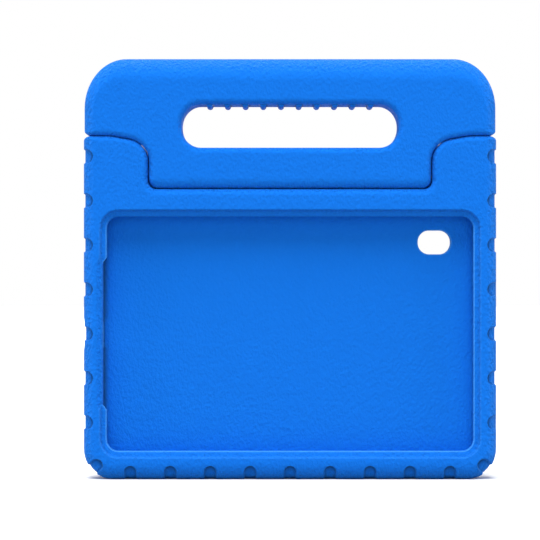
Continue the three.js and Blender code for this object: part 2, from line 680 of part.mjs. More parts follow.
function handleSolid() {
  const slab = solid(roundedSlab(handleCorners, handleEdges, HALF_THICKNESS, handleInsets));
  const gripCorners = rectangle(
    0, gripMiddle, GRIP_HALF_LENGTH, GRIP_HALF_HEIGHT,
    GRIP_END_ACROSS, GRIP_HALF_HEIGHT - MIN_CORNER_RADIUS,
  );
  const barrel = roundEndedCylinder(tongueWall, HALF_THICKNESS - BARREL_BELOW_FACES, BARREL_END_RADIUS);
  return slab
    .add(solid(barrel))
    .subtract(solid(roundedHole(gripCorners, GRIP_EDGE, HALF_THICKNESS)))
    .add(fingerRidges())
    .subtract(pivotPair(bushSeatProfile, tongueWall));
}

// Soft foam of the shell and the handle, and the stiff plastic of the pivots
const foam = new THREE.MeshStandardMaterial({ color: 0x187aed, roughness: 0.8, metalness: 0 });
const pinPlastic = new THREE.MeshStandardMaterial({ color: 0x1c2024, roughness: 0.45, metalness: 0 });
const bushPlastic = new THREE.MeshStandardMaterial({ color: 0xd8dadc, roughness: 0.4, metalness: 0 });

// Mesh of a solid, with the solid's frame moved to the group's origin at this height
function solidMesh(name, body, material, groupHeight) {
  const raw = body.getMesh();
  const geometry = new THREE.BufferGeometry();
  geometry.setAttribute('position', new THREE.Float32BufferAttribute(raw.vertProperties, 3));
  geometry.setIndex([...raw.triVerts]);
  geometry.translate(0, 0, -groupHeight);
  geometry.computeVertexNormals();
  const mesh = new THREE.Mesh(geometry, material);
  mesh.name = name;
  return mesh;
}

function pivotMesh(name, profile, material, wall, side) {
  const mesh = solidMesh(name, solid(turned(profile, ROUND_SIDES)), material, 0);
  mesh.position.set(side * wall, 0, 0);
  mesh.rotation.z = side > 0 ? 0 : Math.PI;
  return mesh;
}

// Shell with its two pins, and the handle with its two bushes on the same pivot line
const caseGroup = new THREE.Group();
caseGroup.add(solidMesh('case_shell', shellSolid(), foam, 0));

const pinGroup = new THREE.Group();
pinGroup.position.z = pivotHeight;
pinGroup.add(pivotMesh('pivot_pin_left', pinProfile, pinPlastic, earWall, -1));
pinGroup.add(pivotMesh('pivot_pin_right', pinProfile, pinPlastic, earWall, 1));
caseGroup.add(pinGroup);

const handleGroup = new THREE.Group();
handleGroup.position.z = pivotHeight;
handleGroup.add(solidMesh('carry_handle', handleSolid(), foam, pivotHeight));
handleGroup.add(pivotMesh('pivot_bush_left', bushProfile, bushPlastic, tongueWall, -1));
handleGroup.add(pivotMesh('pivot_bush_right', bushProfile, bushPlastic, tongueWall, 1));

const tabletCase = new THREE.Group();
tabletCase.add(caseGroup, handleGroup);

export default tabletCase;
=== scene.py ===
"""A child's tablet case of moulded foam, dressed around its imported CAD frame.

The shell holds a small tablet behind a lipped window, and the carrying handle turns on two
pivots in the shell's ears. Metres, +Z up, the window faces -Y.
"""

import json
import math
from collections import namedtuple

import bmesh
import bpy
from mathutils import Matrix, Vector


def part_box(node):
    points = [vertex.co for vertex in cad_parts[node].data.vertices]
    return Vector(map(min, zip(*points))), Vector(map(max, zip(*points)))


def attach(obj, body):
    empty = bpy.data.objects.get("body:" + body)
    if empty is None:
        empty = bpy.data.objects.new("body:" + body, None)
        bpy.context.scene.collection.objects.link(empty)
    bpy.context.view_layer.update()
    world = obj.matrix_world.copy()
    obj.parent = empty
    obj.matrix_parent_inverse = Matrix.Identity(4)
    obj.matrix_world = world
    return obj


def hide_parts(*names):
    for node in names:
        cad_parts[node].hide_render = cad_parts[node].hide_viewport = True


bl_info = {
    "name": "Foam tablet case",
    "version": (1, 0, 0),
    "blender": (4, 5, 0),
    "location": "3D View > Sidebar > Tablet case",
    "description": "Models and lights a moulded foam tablet case with a folding handle",
    "category": "Object",
}

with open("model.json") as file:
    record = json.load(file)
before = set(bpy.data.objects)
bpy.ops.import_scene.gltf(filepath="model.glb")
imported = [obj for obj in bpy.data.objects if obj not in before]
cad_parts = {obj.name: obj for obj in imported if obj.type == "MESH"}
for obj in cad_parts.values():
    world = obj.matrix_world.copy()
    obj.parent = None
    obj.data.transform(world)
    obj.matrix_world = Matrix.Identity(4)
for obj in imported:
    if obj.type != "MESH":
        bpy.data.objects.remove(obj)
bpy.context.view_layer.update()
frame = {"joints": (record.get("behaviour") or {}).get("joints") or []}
shell_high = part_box("case_shell")[1]
handle_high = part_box("carry_handle")[1]
pivot_place = Vector(frame["joints"][0]["pos_m"])

MM = 0.001
SEAM_GAP = 0.26 * MM
HALF_GAP = SEAM_GAP / 2
RIGHT_GROOVES_WITH_STRIP = (0, 3)

# Fineness of the curved stretches
ARC_STEP = math.radians(5)
EDGE_STEPS = 12
LIP_STEPS = 4
TURN_STEPS = 64
RIDGE_STEPS = 14
RIDGE_END_STEPS = 6
GROOVE_GRID = 0.4 * MM
SMALLEST_RADIUS = 0.3 * MM
MERGE_DISTANCE = MM / 1000

# Share of its height that a finger ridge still has where it ends
SMALLEST_RIDGE = 0.04

# A cutter reaches through the foam, ends over the pocket's bed or runs out just over a face
THROUGH = 3 * MM
OVER_BED = 1 * MM
RUN_OUT = 0.01 * MM
RUN_OUT_WIDTH = 1 * MM

# Widths over which the lip's painted edge highlight fades out, at its sides and foot and at its top
LIP_FADE = 1.5 * MM
LIP_TOP_FADE = 9 * MM

# Floor card as light bounces off it and as the camera sees it, and the breadth of the lights
CARD_GREY = (0.38, 0.38, 0.38, 1)
CARD_SEEN = (0.95, 0.95, 0.95, 1)
CARD_HALF_SIZE = 6
WHITE = (1, 1, 1, 1)
SUN_SPREAD = math.radians(40)


def metres(name, description, default):
    """Length that a user may change"""
    return bpy.props.FloatProperty(
        name=name, description=description, default=default, min=0.0, unit="LENGTH", precision=4,
    )


def length(name, description, millimetres):
    return metres(name, description, millimetres * MM)


def edge(name, description, across, deep):
    """Rounded edge, as its width across the face and its depth down the wall, in millimetres"""
    return bpy.props.FloatVectorProperty(
        name=name, description=description, size=2, default=(across * MM, deep * MM), unit="LENGTH",
        precision=4,
    )


def count(name, description, default):
    return bpy.props.IntProperty(name=name, description=description, default=default, min=1)


def factor(name, description, default):
    return bpy.props.FloatProperty(
        name=name, description=description, default=default, min=0.0, subtype="FACTOR",
    )


def linear(hex_colour):
    """Linear red, green and blue of an sRGB hex colour"""
    parts = [int(hex_colour[i:i + 2], 16) / 255 for i in (1, 3, 5)]
    return tuple(c / 12.92 if c <= 0.04045 else ((c + 0.055) / 1.055) ** 2.4 for c in parts)


def tint(name, description, hex_colour):
    """Colour that a user may change"""
    return bpy.props.FloatVectorProperty(
        name=name, description=description, size=3, default=linear(hex_colour), subtype="COLOR",
        min=0.0, max=1.0,
    )


class ShellSizes(bpy.types.PropertyGroup):
    """Outer form of the shell and the seam between it and the handle"""

    half_width: metres("Half width", "Half of the shell's width", shell_high.x)
    half_thickness: metres("Half thickness", "Half of the shell's thickness", shell_high.y)
    shoulder: metres("Shoulder height", "Height of the seam at the sides", shell_high.z + HALF_GAP)
    corner_across: length("Bottom corner across", "Bottom corner's radius sideways", 15.5)
    corner_up: length("Bottom corner up", "Bottom corner's radius upwards", 16.6)
    ear_width: length("Ear width", "Width of each ear beside the handle's tongue", 35.3)
    tongue_depth: length("Tongue depth", "Depth of the notch that the tongue fills", 28.5)
    slope_run: length("Slope run", "Width of the slope at the ear's inner end", 20)
    slope_drop: length("Slope drop", "Fall of the slope at the ear's inner end", 3.7)
    bend_radius: length("Bend radius", "Radius where the slope starts", 33)
    root_radius: length("Root radius", "Radius where the slope turns down", 12)
    notch_radius: length("Notch radius", "Radius in the notch's corners", 4.2)
    shoulder_across: length("Shoulder across", "Radius sideways at the seam's outer ends", 4.4)
    shoulder_up: length("Shoulder up", "Radius up and down at the seam's outer ends", 2.8)
    side_edge: edge("Side edge", "Rounding along the sides", 6.5, 8)
    bottom_edge: edge("Bottom edge", "Rounding along the bottom", 9.3, 6.5)
    shoulder_edge: edge("Shoulder edge", "Rounding along the seam", 3, 3)
    notch_side_edge: edge("Notch side edge", "Rounding down the notch's sides", 3.4, 3.4)
    notch_floor_edge: edge("Notch floor edge", "Rounding along the notch's floor", 4.2, 3.6)


class PocketSizes(bpy.types.PropertyGroup):
    """Tablet pocket, window, lip and the openings in the shell's back and side"""

    side_wall: length("Side wall", "Foam beside the tablet", 10.4)
    floor_wall: length("Floor wall", "Foam under the tablet", 11.5)
    height: length("Pocket height", "Height of the tablet pocket", 135.3)
    depth: length("Pocket depth", "Thickness of the tablet pocket", 8.5)
    radius: length("Pocket radius", "Radius of the pocket's corners", 7)
    lip_side: length("Lip at the sides", "Overlap of the lip at the sides", 2.5)
    lip_end: length("Lip at top and bottom", "Overlap of the lip at top and bottom", 4.1)
    lip_thickness: length("Lip thickness", "Foam in front of the tablet", 4.2)
    window_radius: length("Window radius", "Radius of the window's inner corners", 6.3)
    frame_width: length("Frame width", "Width of the sunk frame around the window", 3.9)
    step: edge("Frame step", "Steep step at the frame's outer line", 1.1, 1.9)
    slope: edge("Frame slope", "Gentle slope inside the step", 2.2, 0.7)
    relief_half_height: length("Lip relief", "Half height where the left lip steps back", 38.25)
    relief_shoulder: length("Relief shoulder", "Height of the relief's slanted ends", 3.3)
    relief_bevel: edge("Relief bevel", "Bevel around the relief", 3, 1.6)
    relief_radius: length("Relief radius", "Radius of the relief's corners", 1.5)
    recess_depth: length("Back recess", "Depth of the recess in the back", 3.5)
    recess_side: length("Recess side margin", "Foam left beside the back recess", 19)
    recess_end: length("Recess end margin", "Foam left above and below the back recess", 18)
    recess_radius: length("Recess radius", "Radius of the recess's corners", 12)
    recess_slope: length("Recess slope", "Width of the recess's sloping edge", 3)
    camera_half_length: length("Camera hole length", "Half length of the camera hole", 9)
    camera_half_height: length("Camera hole height", "Half height of the camera hole", 6.5)
    camera_from_side: length("Camera from side", "Camera hole's middle from the pocket's side", 23)
    camera_from_top: length("Camera from top", "Camera hole's middle from the pocket's top", 18)
    camera_flare: length("Camera flare", "Flare of the camera hole at the back", 2.5)
    port_half_length: length("Port length", "Half length of the port slot", 8)
    port_half_height: length("Port height", "Half height of the port slot", 3.2)
    port_flare: length("Port flare", "Flare of the port slot at the rim", 1.4)


class GrooveSizes(bpy.types.PropertyGroup):
    """Shallow grip grooves around the shell's rim"""

    depth: length("Depth", "Depth of the grooves at the rim", 0.8)
    end_depth: length("End depth", "Depth of the grooves at their round ends", 2.1)
    wall: length("Wall", "Width of a groove's soft wall", 0.7)
    side_count: count("Side grooves", "Grooves up each side", 7)
    side_first: length("First side groove", "Height of the lowest side groove", 30.9)
    side_margin: length("Side top margin", "Room above the highest side groove", 11.2)
    side_half_width: length("Side half width", "Half width of a side groove", 3.7)
    side_reach: length("Side reach", "Reach of a side groove onto the front", 5.1)
    bottom_count: count("Bottom grooves", "Grooves along the bottom", 9)
    bottom_margin: length("Bottom margin", "Room beside the last bottom groove", 25.6)
    bottom_half_width: length("Bottom half width", "Half width of a bottom groove", 3.15)
    bottom_reach: length("Bottom reach", "Reach of a bottom groove onto the front", 7.2)
    corner_half_width: length("Corner half width", "Half width of a corner groove", 3.4)
    corner_reach: length("Corner reach", "Reach of a corner groove onto the front", 7.2)
    strip_half_width: length("Strip", "Half width of the strip that some grooves leave standing", 5)


class HandleSizes(bpy.types.PropertyGroup):
    """Outer form of the handle, its grip hole and finger ridges"""

    half_width: metres("Half width", "Half of the handle's width", handle_high.x)
    top: metres("Top", "Height of the handle's top", handle_high.z)
    corner_across: length("Corner across", "Top corner's radius sideways", 22.9)
    corner_down: length("Corner down", "Top corner's radius downwards", 27.2)
    tongue_slack: length("Tongue slack", "Extra gap down each side of the tongue", 0.28)
    root_ease: length("Root ease", "Extra radius where the tongue leaves the handle", 0.7)
    tongue_radius: length("Tongue radius", "Radius of the tongue's corners", 5.2)
    top_edge: edge("Top edge", "Rounding along the top", 12.8, 12.8)
    tongue_side_edge: edge("Tongue side edge", "Rounding down the tongue's sides", 3.4, 3.4)
    tongue_end_edge: edge("Tongue end edge", "Rounding along the tongue's end", 5.4, 3.3)
    grip_half_length: length("Grip half length", "Half length of the grip hole", 58.9)
    grip_half_height: length("Grip half height", "Half height of the grip hole", 11.65)
    grip_above: length("Grip above seam", "Height of the grip hole's middle above the seam", 5.2)
    grip_end: length("Grip end", "Radius of the grip hole's ends sideways", 10.4)
    grip_edge: edge("Grip edge", "Rounding around the grip hole", 3.4, 3.6)
    ridge_count: count("Ridges", "Finger ridges in the grip hole", 10)
    ridge_pitch: length("Ridge pitch", "Spacing of the finger ridges", 9.72)
    ridge_half_width: length("Ridge half width", "Half width of a ridge at its root", 1.75)
    ridge_height: length("Ridge height", "Height of a finger ridge", 1.7)
    ridge_end: length("Ridge end", "Length over which a ridge fades out", 1)


class PivotSizes(bpy.types.PropertyGroup):
    """Pins in the ears and bushes in the tongue"""

    fold_clearance: length("Fold clearance", "Room left around the folding handle", 0.4)
    barrel_below: length("Barrel below faces", "Tongue's barrel below its faces", 0.6)
    barrel_end: length("Barrel end", "Radius at the barrel's ends", 4.2)
    pin_radius: length("Pin radius", "Radius of the pin's shank", 3)
    pin_in_ear: length("Pin in ear", "Length of the pin in the ear", 19)
    pin_in_tongue: length("Pin in tongue", "Length of the pin in the tongue", 13.5)
    pin_flange_radius: length("Pin flange radius", "Radius of the pin's flange", 6)
    pin_flange: length("Pin flange", "Thickness of the pin's flange", 2.4)
    pin_chamfer: length("Pin chamfer", "Chamfer at the pin's ends", 0.8)
    bush_wall: length("Bush wall", "Wall of the bush", 1.8)
    bush_flange_radius: length("Bush flange radius", "Radius of the bush's flange", 6.6)
    bush_flange: length("Bush flange", "Thickness of the bush's flange", 2)
    seat_clearance: length("Seat clearance", "Gap around each pin and bush", 0.3)


class Finish(bpy.types.PropertyGroup):
    """Colours and grain of the materials"""

    foam: tint("Foam", "Blue of the foam", "#147BF1")
    foam_shade: tint("Foam shade", "Other blue of the foam's faint mottling", "#1377EB")
    cloud: length("Foam cloud", "Size of the faint mottling", 16)
    # Painted highlight: a paler blue along the convex edges of the window's lip, where light catches them
    foam_edge_highlight: tint("Foam edge", "Paler blue of the lip where the foam is rubbed", "#4A9FF8")
    # Painted shade: a duller, darker blue that the foam goes over to where its own walls stand close, in
    # grooves, steps and other hollows, within the reach below
    foam_hollow_shade: tint("Foam hollow", "Duller blue in the foam's grooves and steps", "#1C4468")
    hollow_shade_reach: length("Hollow reach", "How far a wall dulls the foam beside it", 4)
    foam_sheen: tint("Foam sheen", "Cool pale sheen where the foam turns away", "#7CE4FF")
    # Width of the painted highlight along the lip's edges
    edge_width: length("Edge width", "Width of the rubbed edges", 0.9)
    grain: length("Foam grain", "Size of the leathery grain", 1.7)
    grain_height: length("Grain height", "Height of the leathery grain", 0.95)
    pore: length("Foam pore", "Size of the fine pits in the skin", 0.45)
    softness: length("Edge softness", "Radius that the eye sees on cut edges", 0.45)
    nylon: tint("Nylon", "Black of the moulded pins", "#1C2024")
    acetal: tint("Acetal", "White of the moulded bushes", "#D8DADC")


class Studio(bpy.types.PropertyGroup):
    """Floor, light and camera"""

    ambient: factor("Ambient", "Even light from all around", 0.14)
    front: factor("Front light", "Light from the camera's side", 0.19)
    above: factor("Light above", "Light from above the camera", 1.09)
    sides: factor("Side lights", "Light from the left and the right", 0.48)
    back: factor("Back light", "Light from behind", 0.26)
    back_above: factor("Light above the back", "Light from above and behind", 0.31)
    distance: metres("Camera distance", "From the camera to the rim of the case", 1.3)
    camera_x: bpy.props.FloatProperty(
        name="Camera sideways", description="Camera's place to the side", default=-0.0109, unit="LENGTH",
    )
    camera_z: metres("Camera height", "Camera's height above the floor", 0.1137)
    view_width: metres("View width", "Width that the picture takes in", 0.2943)


class TabletCase(bpy.types.PropertyGroup):
    """All sizes and finishes of the case"""

    shell: bpy.props.PointerProperty(type=ShellSizes)
    pocket: bpy.props.PointerProperty(type=PocketSizes)
    groove: bpy.props.PointerProperty(type=GrooveSizes)
    handle: bpy.props.PointerProperty(type=HandleSizes)
    pivot: bpy.props.PointerProperty(type=PivotSizes)
    finish: bpy.props.PointerProperty(type=Finish)
    studio: bpy.props.PointerProperty(type=Studio)


# Outlines seen from the front, anticlockwise, in x and z
Corner = namedtuple("Corner", "x z r_in r_out")


def even_corner(x, z, radius):
    return Corner(x, z, radius, radius)


def mirrored(corners):
    """The same corners at the other side, in the order that keeps the outline anticlockwise"""
    return [Corner(-c.x, c.z, c.r_out, c.r_in) for c in reversed(corners)]


def rectangle(middle_x, middle_z, half_width, half_height, across, up=None):
    up = across if up is None else up
    return [
        Corner(middle_x - half_width, middle_z - half_height, up, across),
        Corner(middle_x + half_width, middle_z - half_height, across, up),
        Corner(middle_x + half_width, middle_z + half_height, up, across),
        Corner(middle_x - half_width, middle_z + half_height, across, up),
    ]


def corner_arc(corners, i, insets, depths):
    """Points of one rounded corner of an offset outline, from its incoming to its outgoing edge"""
    here = corners[i]
    before = corners[i - 1]
    after = corners[(i + 1) % len(corners)]
    along = Vector((here.x - before.x, here.z - before.z)).normalized()
    onward = Vector((after.x - here.x, after.z - here.z)).normalized()
    cross = along.x * onward.y - along.y * onward.x
    turn = math.atan2(abs(cross), along.dot(onward))
    sense = math.copysign(1, cross)
    vertex = Vector((here.x, here.z)) + (onward * insets[i - 1] - along * insets[i]) / cross
    reach = math.tan(turn / 2)
    radius_in = max(here.r_in - sense * insets[i], SMALLEST_RADIUS)
    radius_out = max(here.r_out - sense * insets[i - 1], SMALLEST_RADIUS)
    steps = max(1, math.ceil(turn / ARC_STEP))
    points = []
    for k in range(steps + 1):
        swept = turn * k / steps
        forward = (1 - math.cos(swept)) / math.sin(turn)
        back = reach - math.sin(swept) + forward * math.cos(turn)
        place = vertex - along * back * radius_in + onward * forward * radius_out
        depth = depths[i - 1] + (depths[i] - depths[i - 1]) * k / steps
        points.append(Vector((place.x, depth, place.y)))
    return points


def ring(corners, insets, depths):
    """Offset outline with its corners rounded, as one ring of points in space"""
    return [point for i in range(len(corners)) for point in corner_arc(corners, i, insets, depths)]


def loft(rings):
    """Closed body through a row of rings: a face is extruded from each ring to the next"""
    bm = bmesh.new()
    first = [bm.verts.new(point) for point in rings[0]]
    face = bm.faces.new(first)
    for points in rings[1:]:
        face = bmesh.ops.extrude_discrete_faces(bm, faces=[face])["faces"][0]
        for vert, point in zip(face.verts, points):
            vert.co = point
    bm.faces.new(reversed(first))
    bmesh.ops.recalc_face_normals(bm, faces=bm.faces)
    return bm


def stepped_prism(corners, steps):
    """Outline grown by each step's amount at that step's depth"""
    return loft([ring(corners, [-grow] * len(corners), [depth] * len(corners)) for grow, depth in steps])


def prism(corners, front, back, grow=0.0):
    return stepped_prism(corners, [(grow, front), (grow, back)])


def quarter_turn(steps):
    """Angles of an even quarter turn"""
    return [math.pi / 2 * k / steps for k in range(steps + 1)]


def rounded_slab(corners, edges, insets, half_thickness):
    """Slab with both of its face edges rounded, each edge of the outline by its own amount"""
    angles = quarter_turn(EDGE_STEPS)
    rings = []
    for side, swing in ((-1, angles), (1, angles[::-1])):
        for angle in swing:
            inset = [base + e[0] * (1 - math.sin(angle)) for base, e in zip(insets, edges)]
            depth = [side * (half_thickness - e[1] * (1 - math.cos(angle))) for e in edges]
            rings.append(ring(corners, inset, depth))
    return loft(rings)


def rounded_hole(corners, flare, half_thickness):
    """Hole right through a slab, which flares out to both faces in a rounded edge"""
    across, deep = flare
    steps = [(across, half_thickness + THROUGH)]
    for angle in quarter_turn(EDGE_STEPS):
        steps.append((across * (1 - math.sin(angle)), half_thickness - deep * (1 - math.cos(angle))))
    front = [(grow, -depth) for grow, depth in steps]
    return stepped_prism(corners, front + steps[::-1])


def rounded_steps(points, radii):
    """Row of grow and depth steps with its inner corners rounded by an arc each"""
    path = [Vector(points[0])]
    for before, here, after, radius in zip(points, points[1:], points[2:], radii):
        here = Vector(here)
        to_before = (Vector(before) - here).normalized()
        to_after = (Vector(after) - here).normalized()
        start = here + to_before * radius
        end = here + to_after * radius
        for k in range(LIP_STEPS + 1):
            t = k / LIP_STEPS
            path.append(start * (1 - t) ** 2 + here * 2 * t * (1 - t) + end * t ** 2)
    path.append(Vector(points[-1]))
    return [(point.x, point.y) for point in path]


def turned(profile, wall, side):
    """Body turned about the pivot line, from points of distance past the wall and radius"""
    bm = bmesh.new()
    verts = [bm.verts.new((x, 0, radius)) for x, radius in profile]
    edges = [bm.edges.new(pair) for pair in zip(verts, verts[1:])]
    bmesh.ops.spin(
        bm, geom=verts + edges, axis=(1, 0, 0), cent=(0, 0, 0), angle=2 * math.pi, steps=TURN_STEPS,
        use_merge=True,
    )
    bmesh.ops.remove_doubles(bm, verts=bm.verts, dist=MERGE_DISTANCE)
    bmesh.ops.rotate(bm, verts=bm.verts, matrix=Matrix.Rotation(0 if side > 0 else math.pi, 3, "Z"))
    bmesh.ops.translate(bm, verts=bm.verts, vec=(side * wall, 0, pivot_place.z))
    bmesh.ops.recalc_face_normals(bm, faces=bm.faces)
    return bm


def round_ended_cylinder(wall, radius, end_radius):
    """Cylinder on the pivot line between two walls, with its ends rounded"""
    bend = [
        (wall - end_radius * (1 - math.sin(angle)), radius - end_radius * (1 - math.cos(angle)))
        for angle in quarter_turn(2 * LIP_STEPS)
    ]
    left = [(-x, r) for x, r in reversed(bend)]
    return turned([(-wall, 0), *left, *bend, (wall, 0)], 0, 1)


def new_piece(name, bm):
    """Object at the origin with this bmesh as its mesh"""
    mesh = bpy.data.meshes.new(name)
    bm.to_mesh(mesh)
    bm.free()
    piece = bpy.data.objects.new(name, mesh)
    bpy.context.scene.collection.objects.link(piece)
    return piece


def settle(piece):
    """Turn a piece's modifiers into its mesh"""
    graph = bpy.context.evaluated_depsgraph_get()
    settled = bpy.data.meshes.new_from_object(piece.evaluated_get(graph))
    old = piece.data
    piece.modifiers.clear()
    piece.data = settled
    bpy.data.meshes.remove(old)
    settled.name = piece.name


def carve(piece, parts, operation="DIFFERENCE"):
    """Cut parts out of a piece, or join them to it, one after another"""
    cutters = [new_piece("cutter", part) for part in parts]
    for cutter in cutters:
        modifier = piece.modifiers.new("carve", "BOOLEAN")
        modifier.operation = operation
        modifier.solver = "MANIFOLD"
        modifier.object = cutter
    settle(piece)
    for cutter in cutters:
        mesh = cutter.data
        bpy.data.objects.remove(cutter)
        bpy.data.meshes.remove(mesh)


def smooth(piece, sharp_degrees=38):
    """Smooth shading that keeps flat faces flat and true corners crisp"""
    bm = bmesh.new()
    bm.from_mesh(piece.data)
    bmesh.ops.remove_doubles(bm, verts=bm.verts, dist=2 * MERGE_DISTANCE)
    bmesh.ops.dissolve_degenerate(bm, edges=bm.edges, dist=MERGE_DISTANCE)
    for face in bm.faces:
        face.smooth = True
    for line in bm.edges:
        line.smooth = line.calc_face_angle(0) < math.radians(sharp_degrees)
    bm.to_mesh(piece.data)
    bm.free()
    weighted = piece.modifiers.new("Even shading", "WEIGHTED_NORMAL")
    weighted.mode = "FACE_AREA"
    weighted.keep_sharp = True
    weighted.weight = 80
    settle(piece)


def seam_corners(shell):
    """Right half of the seam, from the ear's slope to the notch's corner"""
    tongue = shell.half_width - shell.ear_width
    return [
        even_corner(tongue + shell.slope_run, shell.shoulder, shell.bend_radius),
        even_corner(tongue, shell.shoulder - shell.slope_drop, shell.root_radius),
        even_corner(tongue, shell.shoulder - shell.tongue_depth, shell.notch_radius),
    ]


def shell_slab(shell):
    right = [
        Corner(shell.half_width, 0, shell.corner_across, shell.corner_up),
        Corner(shell.half_width, shell.shoulder, shell.shoulder_up, shell.shoulder_across),
        *seam_corners(shell),
    ]
    ear = [shell.side_edge, shell.shoulder_edge, shell.shoulder_edge, shell.notch_side_edge]
    edges = [*ear, shell.notch_floor_edge, *reversed(ear), shell.bottom_edge]
    insets = [0, *[HALF_GAP] * 7, 0, 0]
    return rounded_slab(right + mirrored(right), edges, insets, shell.half_thickness)


# Where the tablet lies: half sizes of its pocket and window, their middle, and its front and back
Bed = namedtuple("Bed", "half_width window_half_width window_half_height middle front floor")


def tablet_bed(shell, pocket):
    half_width = shell.half_width - pocket.side_wall
    front = -shell.half_thickness + pocket.lip_thickness
    return Bed(
        half_width=half_width,
        window_half_width=half_width - pocket.lip_side,
        window_half_height=pocket.height / 2 - pocket.lip_end,
        middle=pocket.floor_wall + pocket.height / 2,
        front=front,
        floor=front + pocket.depth,
    )


def window_cutter(shell, pocket, bed):
    """Window with its sunk frame: a steep step, a gentle slope and the lip's rounded edge"""
    crest_round = 0.5 * MM
    foot_round = 0.5 * MM
    slope_round = 0.3 * MM
    lip_round = 0.7 * MM
    face = -shell.half_thickness
    outer = pocket.frame_width
    step_in = outer - pocket.step[0]
    slope_in = step_in - pocket.slope[0]
    slope_depth = face + pocket.step[1] + pocket.slope[1]
    steps = rounded_steps(
        [
            (outer + crest_round, face),
            (outer - crest_round / 3, face),
            (step_in, face + pocket.step[1]),
            (slope_in, slope_depth),
            (0, slope_depth),
            (0, shell.half_thickness - THROUGH),
        ],
        [crest_round, foot_round, slope_round, lip_round],
    )
    rim = steps[0][0]
    before = [(rim + THROUGH, face - THROUGH), (rim, face - RUN_OUT)]
    corners = rectangle(0, bed.middle, bed.window_half_width, bed.window_half_height, pocket.window_radius)
    return stepped_prism(corners, [*before, *steps[1:-1], (0, bed.floor - OVER_BED)])


def relief_cutter(shell, pocket, bed):
    """Stretch of the left lip that steps back beside the screen"""
    crest_round = 0.5 * MM
    foot_round = 0.6 * MM
    narrow = pocket.relief_half_height
    wide = narrow + pocket.relief_shoulder
    corners = [even_corner(0, bed.middle - wide, 0), even_corner(0, bed.middle + wide, 0)]
    for half_width, up in (
        (bed.window_half_width, wide),
        (bed.half_width, narrow),
        (bed.half_width, -narrow),
        (bed.window_half_width, -wide),
    ):
        corners.append(even_corner(-half_width, bed.middle + up, pocket.relief_radius))
    face = -shell.half_thickness
    across, deep = pocket.relief_bevel
    steps = rounded_steps(
        [(across, face - THROUGH), (across, face), (0, face + deep), (0, bed.floor)],
        [crest_round, foot_round],
    )
    return stepped_prism(corners, [*steps[:-1], (0, bed.floor - OVER_BED)])


def back_cutters(shell, pocket, bed):
    """Recess in the back and the camera hole through it"""
    foot_round = 1.4 * MM
    crest_round = 1.2 * MM
    hole_round = 1.2 * MM
    flare_round = 0.8 * MM
    back = shell.half_thickness
    face = back - pocket.recess_depth
    notch_floor = shell.shoulder - shell.tongue_depth
    recess = rectangle(
        0,
        notch_floor / 2,
        shell.half_width - pocket.recess_side,
        notch_floor / 2 - pocket.recess_end,
        pocket.recess_radius,
    )
    slope = pocket.recess_slope
    recess_steps = rounded_steps(
        [(-THROUGH, face), (0, face), (slope, back), (slope + THROUGH, back)],
        [foot_round, crest_round],
    )
    recess_end = [(slope + RUN_OUT_WIDTH, back + RUN_OUT), (slope + RUN_OUT_WIDTH, back + THROUGH)]
    hole = rectangle(
        bed.half_width - pocket.camera_from_side,
        pocket.floor_wall + pocket.height - pocket.camera_from_top,
        pocket.camera_half_length,
        pocket.camera_half_height,
        pocket.camera_half_height - SMALLEST_RADIUS,
    )
    flare = pocket.camera_flare
    hole_steps = rounded_steps(
        [(0, bed.floor - THROUGH), (0, face - flare), (flare, face), (flare + THROUGH, face)],
        [hole_round, flare_round],
    )
    hole_end = [(flare + RUN_OUT_WIDTH, face + RUN_OUT), (flare + RUN_OUT_WIDTH, back)]
    return [
        stepped_prism(recess, recess_steps[:-1] + recess_end),
        stepped_prism(hole, hole_steps[:-1] + hole_end),
    ]


def port_cutter(shell, pocket, bed):
    """Slot through the left rim for the charging plug"""
    slot_round = 0.8 * MM
    flare_round = 0.7 * MM
    corners = rectangle(
        bed.front + pocket.depth / 2, bed.middle, pocket.port_half_height, pocket.port_half_length,
        pocket.port_half_height - SMALLEST_RADIUS,
    )
    flare = pocket.port_flare
    rim = shell.half_width
    steps = rounded_steps(
        [(0, bed.half_width - THROUGH), (0, rim - flare), (flare, rim), (flare, rim + THROUGH)],
        [slot_round, flare_round],
    )
    bm = stepped_prism(corners, steps)
    bmesh.ops.rotate(bm, verts=bm.verts, cent=(0, 0, 0), matrix=Matrix.Rotation(math.pi / 2, 3, "Z"))
    return bm


# A row over the rounded rim: the share of the rounding's width still to go, the share of its
# depth already turned, and the side, from -1 at the front to 1 at the back
RimRow = namedtuple("RimRow", "inset turned side")

# A groove's outline on the rim: its half width, its reach and the strip left standing
Slot = namedtuple("Slot", "half_width reach strip")


def rim_rows(rounding, half_thickness, reach):
    """Rows from a groove's end on the front round the rim to the same at the back"""
    across, deep = rounding
    first = math.asin(1 - reach / across)
    left = math.pi / 2 - first
    curve_steps = math.ceil(left * max(across, deep) / GROOVE_GRID)
    flat_steps = math.ceil(2 * (half_thickness - deep) / GROOVE_GRID)
    front = []
    for k in range(curve_steps + 1):
        angle = first + left * k / curve_steps
        front.append(RimRow(1 - math.sin(angle), 1 - math.cos(angle), -1))
    flat = [RimRow(0, 1, 2 * k / flat_steps - 1) for k in range(1, flat_steps)]
    back = [row._replace(side=1) for row in reversed(front)]
    return front + flat + back


def straight_rim(base, inward, cross, rounding):
    """Places on a straight rim, each with the depth of the rounding there"""
    def place(inset, aside):
        return base + inward * rounding[0] * inset + cross * aside, rounding[1]
    return place


